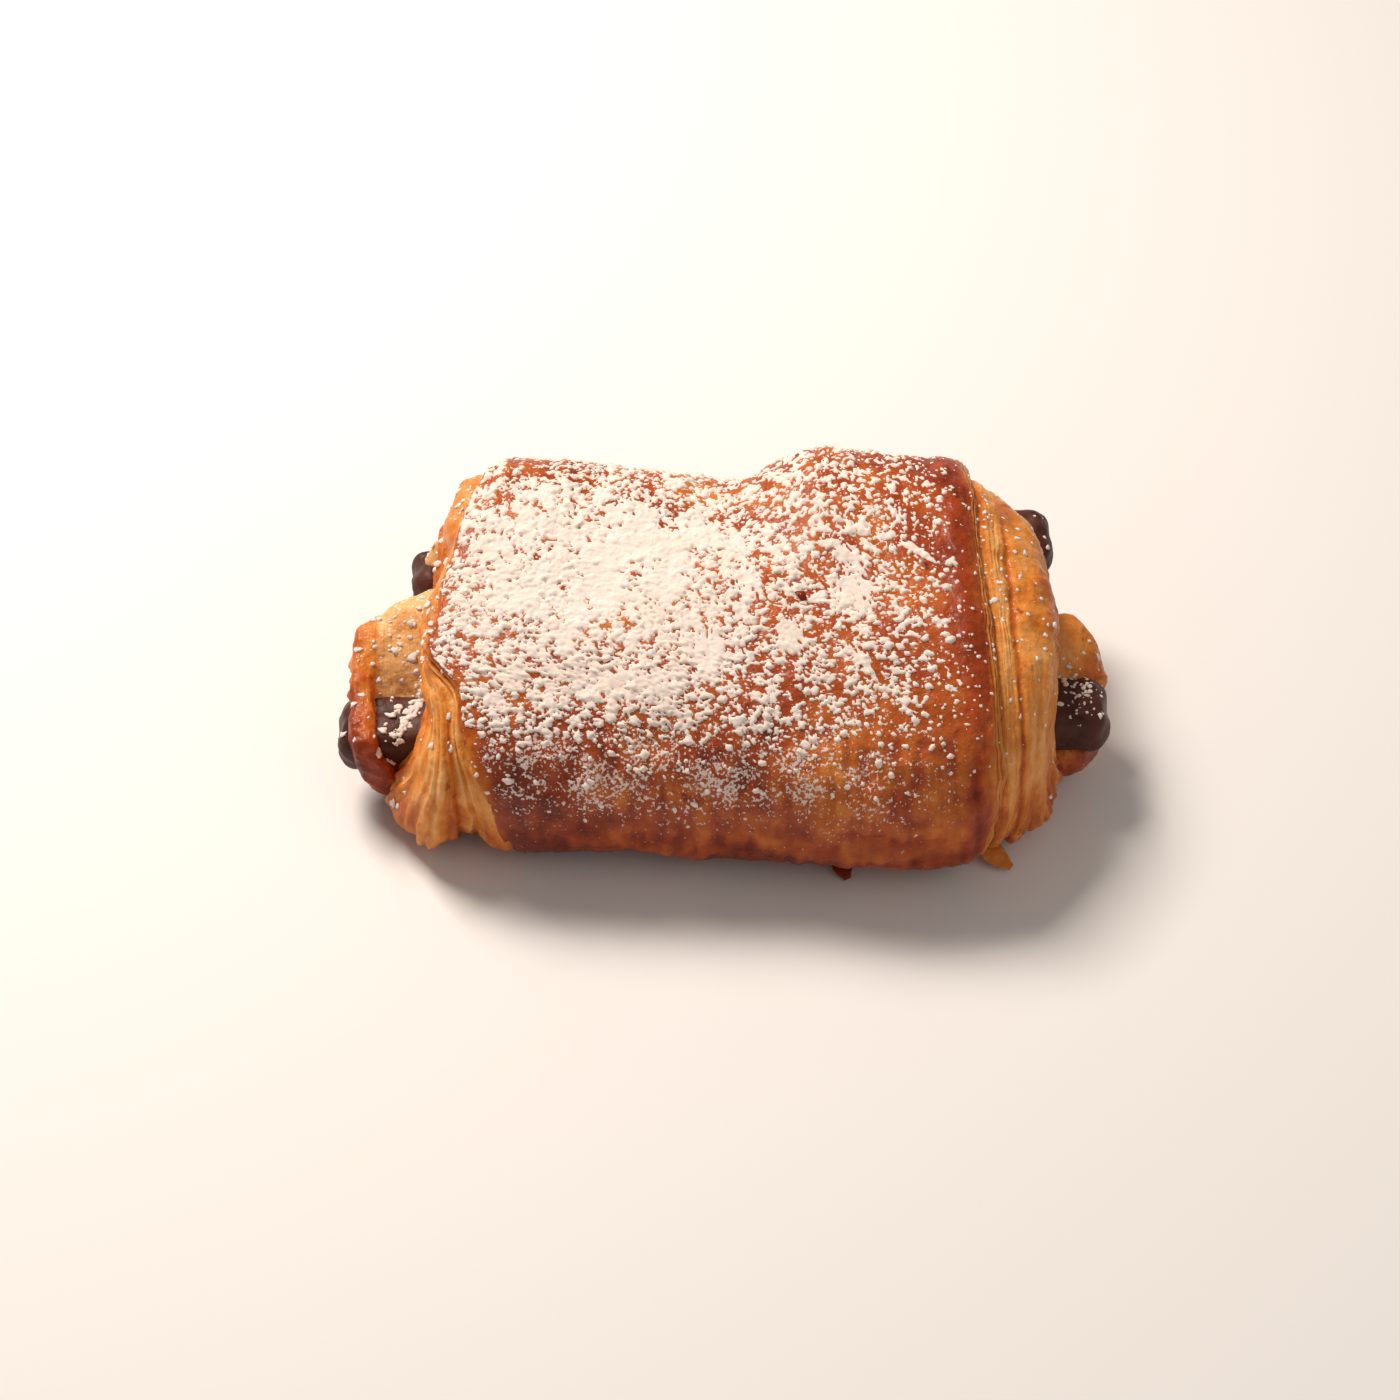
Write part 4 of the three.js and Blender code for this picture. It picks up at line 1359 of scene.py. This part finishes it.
class BAKERY_PG_colours(bpy.types.PropertyGroup):
    """Colours of the baked pieces."""

    crumb: colour_property("Crumb", "Palest dough, inside the folds", (0.87, 0.47, 0.17))
    golden: colour_property("Golden", "Lightly baked layers", (0.75, 0.265, 0.04))
    # Amber and the darker stops also colour painted shade: in grooves, on the strap's front and low
    # down.
    amber: colour_property("Amber", "Well baked layers", (0.55, 0.13, 0.012))
    crust: colour_property("Crust", "Egg-washed lid", (0.36, 0.052, 0.007))
    dark_crust: colour_property("Dark crust", "Darkest edges", (0.17, 0.016, 0.002))
    chocolate: colour_property("Chocolate", "Lighter clouds in it", (0.105, 0.030, 0.018))
    chocolate_dark: colour_property("Dark chocolate", "Its darker ground", (0.045, 0.012, 0.007))
    sugar: colour_property("Sugar", "Dry icing sugar", (0.92, 0.80, 0.73))
    sugar_damp: colour_property("Damp sugar", "Sugar that took up moisture", (0.87, 0.73, 0.64))


def size_property(name, description, default, low):
    """A length that the user can change."""
    description = f"{description}, in millimetres"
    return FloatProperty(name=name, description=description, default=default, min=low)


def count_property(name, description, default, low):
    """A number of flecks, rings or points that the user can change."""
    return IntProperty(name=name, description=description, default=default, min=low)


class BAKERY_PG_sizes(bpy.types.PropertyGroup):
    """Sizes of the chocolate and the sugar, and how finely the pieces are made."""

    stick_width: size_property("Stick width", "Width of a chocolate stick", 12, 4)
    stick_height: size_property("Stick height", "Height of a chocolate stick", 9.5, 3)
    sugar_cell: size_property("Sugar cell", "Spacing of the sugar's grid", 0.21, 0.1)
    flecks: count_property("Flecks", "Loose flecks of sugar", 1300, 0)
    wrap_columns: count_property("Steps round", "Points round each wrap", 400, 24)
    lid_rows: count_property("Lid rings", "Rings along the lid", 150, 8)
    fold_rows: count_property("Fold rings", "Rings along each fold", 200, 8)
    stick_rows: count_property("Stick rings", "Rings along each stick", 220, 8)
    stick_columns: count_property("Steps round a stick", "Points round each stick", 72, 12)


class BAKERY_PG_stage(bpy.types.PropertyGroup):
    """Light and camera."""

    key_power: FloatProperty(
        name="Key light", description="Power of the key light", default=6.9, unit="POWER"
    )
    fill_power: FloatProperty(
        name="Fill light", description="Power of the fill light", default=0.7, unit="POWER"
    )
    sky: FloatProperty(name="Sky", description="Strength of the even light", default=0.24, min=0)
    lens: FloatProperty(
        name="Lens", description="Focal length in millimetres", default=77.14, unit="CAMERA"
    )


# ------------------------------------------------------------------ operators


class BAKERY_OT_lid(bpy.types.Operator):
    """Build the outermost wrap of dough"""

    bl_idname = "bakery.lid"
    bl_label = "Lid"

    def execute(self, context):
        sizes = context.scene.bakery_sizes
        points, values = lid_surface(sizes.lid_rows, sizes.wrap_columns)
        piece = to_mesh("dough_lid", *closed_grid(points, 1, values))
        finish_piece(piece, material("Baked dough"), "baked_dough", DOUGH)
        return {"FINISHED"}


class BAKERY_OT_folds(bpy.types.Operator):
    """Build the wraps and inner folds that show at both ends"""

    bl_idname = "bakery.folds"
    bl_label = "End folds"

    def execute(self, context):
        sizes = context.scene.bakery_sizes
        rows, columns = sizes.fold_rows, sizes.wrap_columns
        core_rows, core_columns = rows * 3 // 4, columns * 3 // 4
        folds = {
            "dough_left_wrap": (left_wrap_surface(rows, columns), -1),
            "dough_right_wrap": (right_wrap_surface(rows, columns), 1),
            "dough_left_core": (left_core_surface(core_rows, core_columns), -1),
            "dough_right_core": (right_core_surface(core_rows, core_columns), 1),
        }
        for name, ((points, values), outward) in folds.items():
            piece = to_mesh(name, *closed_grid(points, outward, values))
            finish_piece(piece, material("Baked dough"), "baked_dough", DOUGH)
        return {"FINISHED"}


class BAKERY_OT_laminae(bpy.types.Operator):
    """Build the loose flap, flake, drip and crumb of dough"""

    bl_idname = "bakery.laminae"
    bl_label = "Loose leaves"

    def execute(self, context):
        for name, (path, widths, lean, bake_and_shade) in LAMINAE.items():
            points = lamina_surface(path, widths, lean)
            same = np.ones(points.shape[:2])
            values = {"bake_and_shade": same * bake_and_shade, "layer": same, "flake": same * 0.3, "dust": same * 0}
            piece = to_mesh("dough_" + name, *closed_grid(points, 1, values))
            finish_piece(piece, material("Baked dough"), "baked_dough", DOUGH)
        return {"FINISHED"}


class BAKERY_OT_sticks(bpy.types.Operator):
    """Build the two chocolate sticks"""

    bl_idname = "bakery.sticks"
    bl_label = "Chocolate sticks"

    def execute(self, context):
        sizes = context.scene.bakery_sizes
        section = (sizes.stick_width, sizes.stick_height)
        grid = (sizes.stick_rows, sizes.stick_columns)
        for node, ends, seed in zip(STICKS, (FRONT_STICK, REAR_STICK), (131, 141)):
            points = stick_surface(ends, *section, *grid, seed)
            piece = to_mesh(node.replace("chocolate_stick", "chocolate"), *closed_grid(points, 1))
            finish_piece(piece, material("Dark chocolate"), "dark_chocolate", node)
        return {"FINISHED"}


class BAKERY_OT_sugar(bpy.types.Operator):
    """Sieve the icing sugar over the pastry"""

    bl_idname = "bakery.sugar"
    bl_label = "Icing sugar"

    def execute(self, context):
        sizes = context.scene.bakery_sizes
        under = [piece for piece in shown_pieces() if piece.name.startswith(("dough_", "chocolate_"))]
        sheet = sugar_sheet(sizes.lid_rows, sizes.wrap_columns, sizes.sugar_cell)
        for k, (points, faces) in enumerate(dusting_bands(*sheet)):
            piece = to_mesh(f"sugar_dusting_{k + 1}", points, faces.tolist())
            finish_piece(piece, material("Icing sugar"), "icing_sugar", SUGAR)

        rng = np.random.default_rng(17)
        places = fleck_places(rng, crust_tree(under), sizes.flecks)
        piece = to_mesh("sugar_flecks", *fleck_cloud(*places, rng))
        finish_piece(piece, material("Icing sugar"), "icing_sugar", SUGAR)
        return {"FINISHED"}


class BAKERY_OT_stage(bpy.types.Operator):
    """Set the floor, the lights and the camera"""

    bl_idname = "bakery.stage"
    bl_label = "Stage"

    def execute(self, context):
        scene = context.scene
        stage = scene.bakery_stage
        scene.view_settings.view_transform = "Standard"
        mesh = bpy.data.meshes.new("floor")
        signs = ((-1, -1), (1, -1), (1, 1), (-1, 1))
        corners = [(x * HALF_FLOOR, y * HALF_FLOOR, 0) for x, y in signs]
        mesh.from_pydata(corners, [], [(0, 1, 2, 3)])
        floor = bpy.data.objects.new("floor", mesh)
        scene.collection.objects.link(floor)
        floor.data.materials.append(floor_material("Pale floor", FLOOR_COLOUR, 0.7))
        floor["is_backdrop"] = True

        world = bpy.data.worlds.new("Soft room")
        world.use_nodes = True
        back = world.node_tree.nodes["Background"]
        back.inputs["Color"].default_value = SKY_COLOUR
        back.inputs["Strength"].default_value = stage.sky
        scene.world = world

        self.light(scene, "key", stage.key_power, *KEY_LIGHT)
        self.light(scene, "fill", stage.fill_power, *FILL_LIGHT)

        camera = bpy.data.objects.new("camera", bpy.data.cameras.new("camera"))
        camera.data.lens = stage.lens
        camera.data.sensor_width = 36
        camera.data.clip_start = 0.01
        spot = (np.array(CAMERA_PLACE) + PLACE) * MM
        turn = Matrix.Rotation(math.radians(CAMERA_TURN), 4, "Z")
        tilt = Matrix.Rotation(math.radians(90 - CAMERA_ELEVATION), 4, "X")
        roll = Matrix.Rotation(math.radians(CAMERA_ROLL), 4, "Z")
        camera.matrix_world = Matrix.Translation(Vector(spot)) @ turn @ tilt @ roll
        scene.collection.objects.link(camera)
        scene.camera = camera
        return {"FINISHED"}

    @staticmethod
    def light(scene, name, power, spot, size, colour):
        """An area light that aims at LIT_SPOT."""
        lamp = bpy.data.lights.new(name, "AREA")
        lamp.size = size
        lamp.energy = power
        lamp.color = colour
        lamp_object = bpy.data.objects.new(name, lamp)
        lamp_object.location = spot
        aim = Vector(LIT_SPOT) - Vector(spot)
        lamp_object.rotation_euler = aim.to_track_quat("-Z", "Y").to_euler()
        scene.collection.objects.link(lamp_object)


class BAKERY_PT_panel(bpy.types.Panel):
    """Lists the steps of the pastry and its settings"""

    bl_label = "Pain au chocolat"
    bl_idname = "BAKERY_PT_panel"
    bl_space_type = "VIEW_3D"
    bl_region_type = "UI"
    bl_category = "Bakery"

    def draw(self, context):
        column = self.layout.column()
        for step in STEPS:
            column.operator(step.bl_idname)
        for name in GROUPS:
            group = getattr(context.scene, name)
            for key in group.__annotations__:
                column.prop(group, key)


STEPS = (
    BAKERY_OT_lid,
    BAKERY_OT_folds,
    BAKERY_OT_laminae,
    BAKERY_OT_sticks,
    BAKERY_OT_sugar,
    BAKERY_OT_stage,
)
GROUPS = {
    "bakery_sizes": BAKERY_PG_sizes,
    "bakery_colours": BAKERY_PG_colours,
    "bakery_stage": BAKERY_PG_stage,
}


def register():
    """Registers every class and gives the scene its settings."""
    for kind in (*GROUPS.values(), *STEPS, BAKERY_PT_panel):
        bpy.utils.register_class(kind)
    for name, group in GROUPS.items():
        setattr(bpy.types.Scene, name, PointerProperty(type=group))


def unregister():
    """Takes the settings and the classes away again."""
    for name in GROUPS:
        delattr(bpy.types.Scene, name)
    for kind in (BAKERY_PT_panel, *STEPS, *GROUPS.values()):
        bpy.utils.unregister_class(kind)


def main():
    """Builds every piece and the stage."""
    register()
    bpy.ops.bakery.lid()
    bpy.ops.bakery.folds()
    bpy.ops.bakery.laminae()
    bpy.ops.bakery.sticks()
    bpy.ops.bakery.sugar()
    bpy.ops.bakery.stage()


if __name__ == "__main__":
    main()
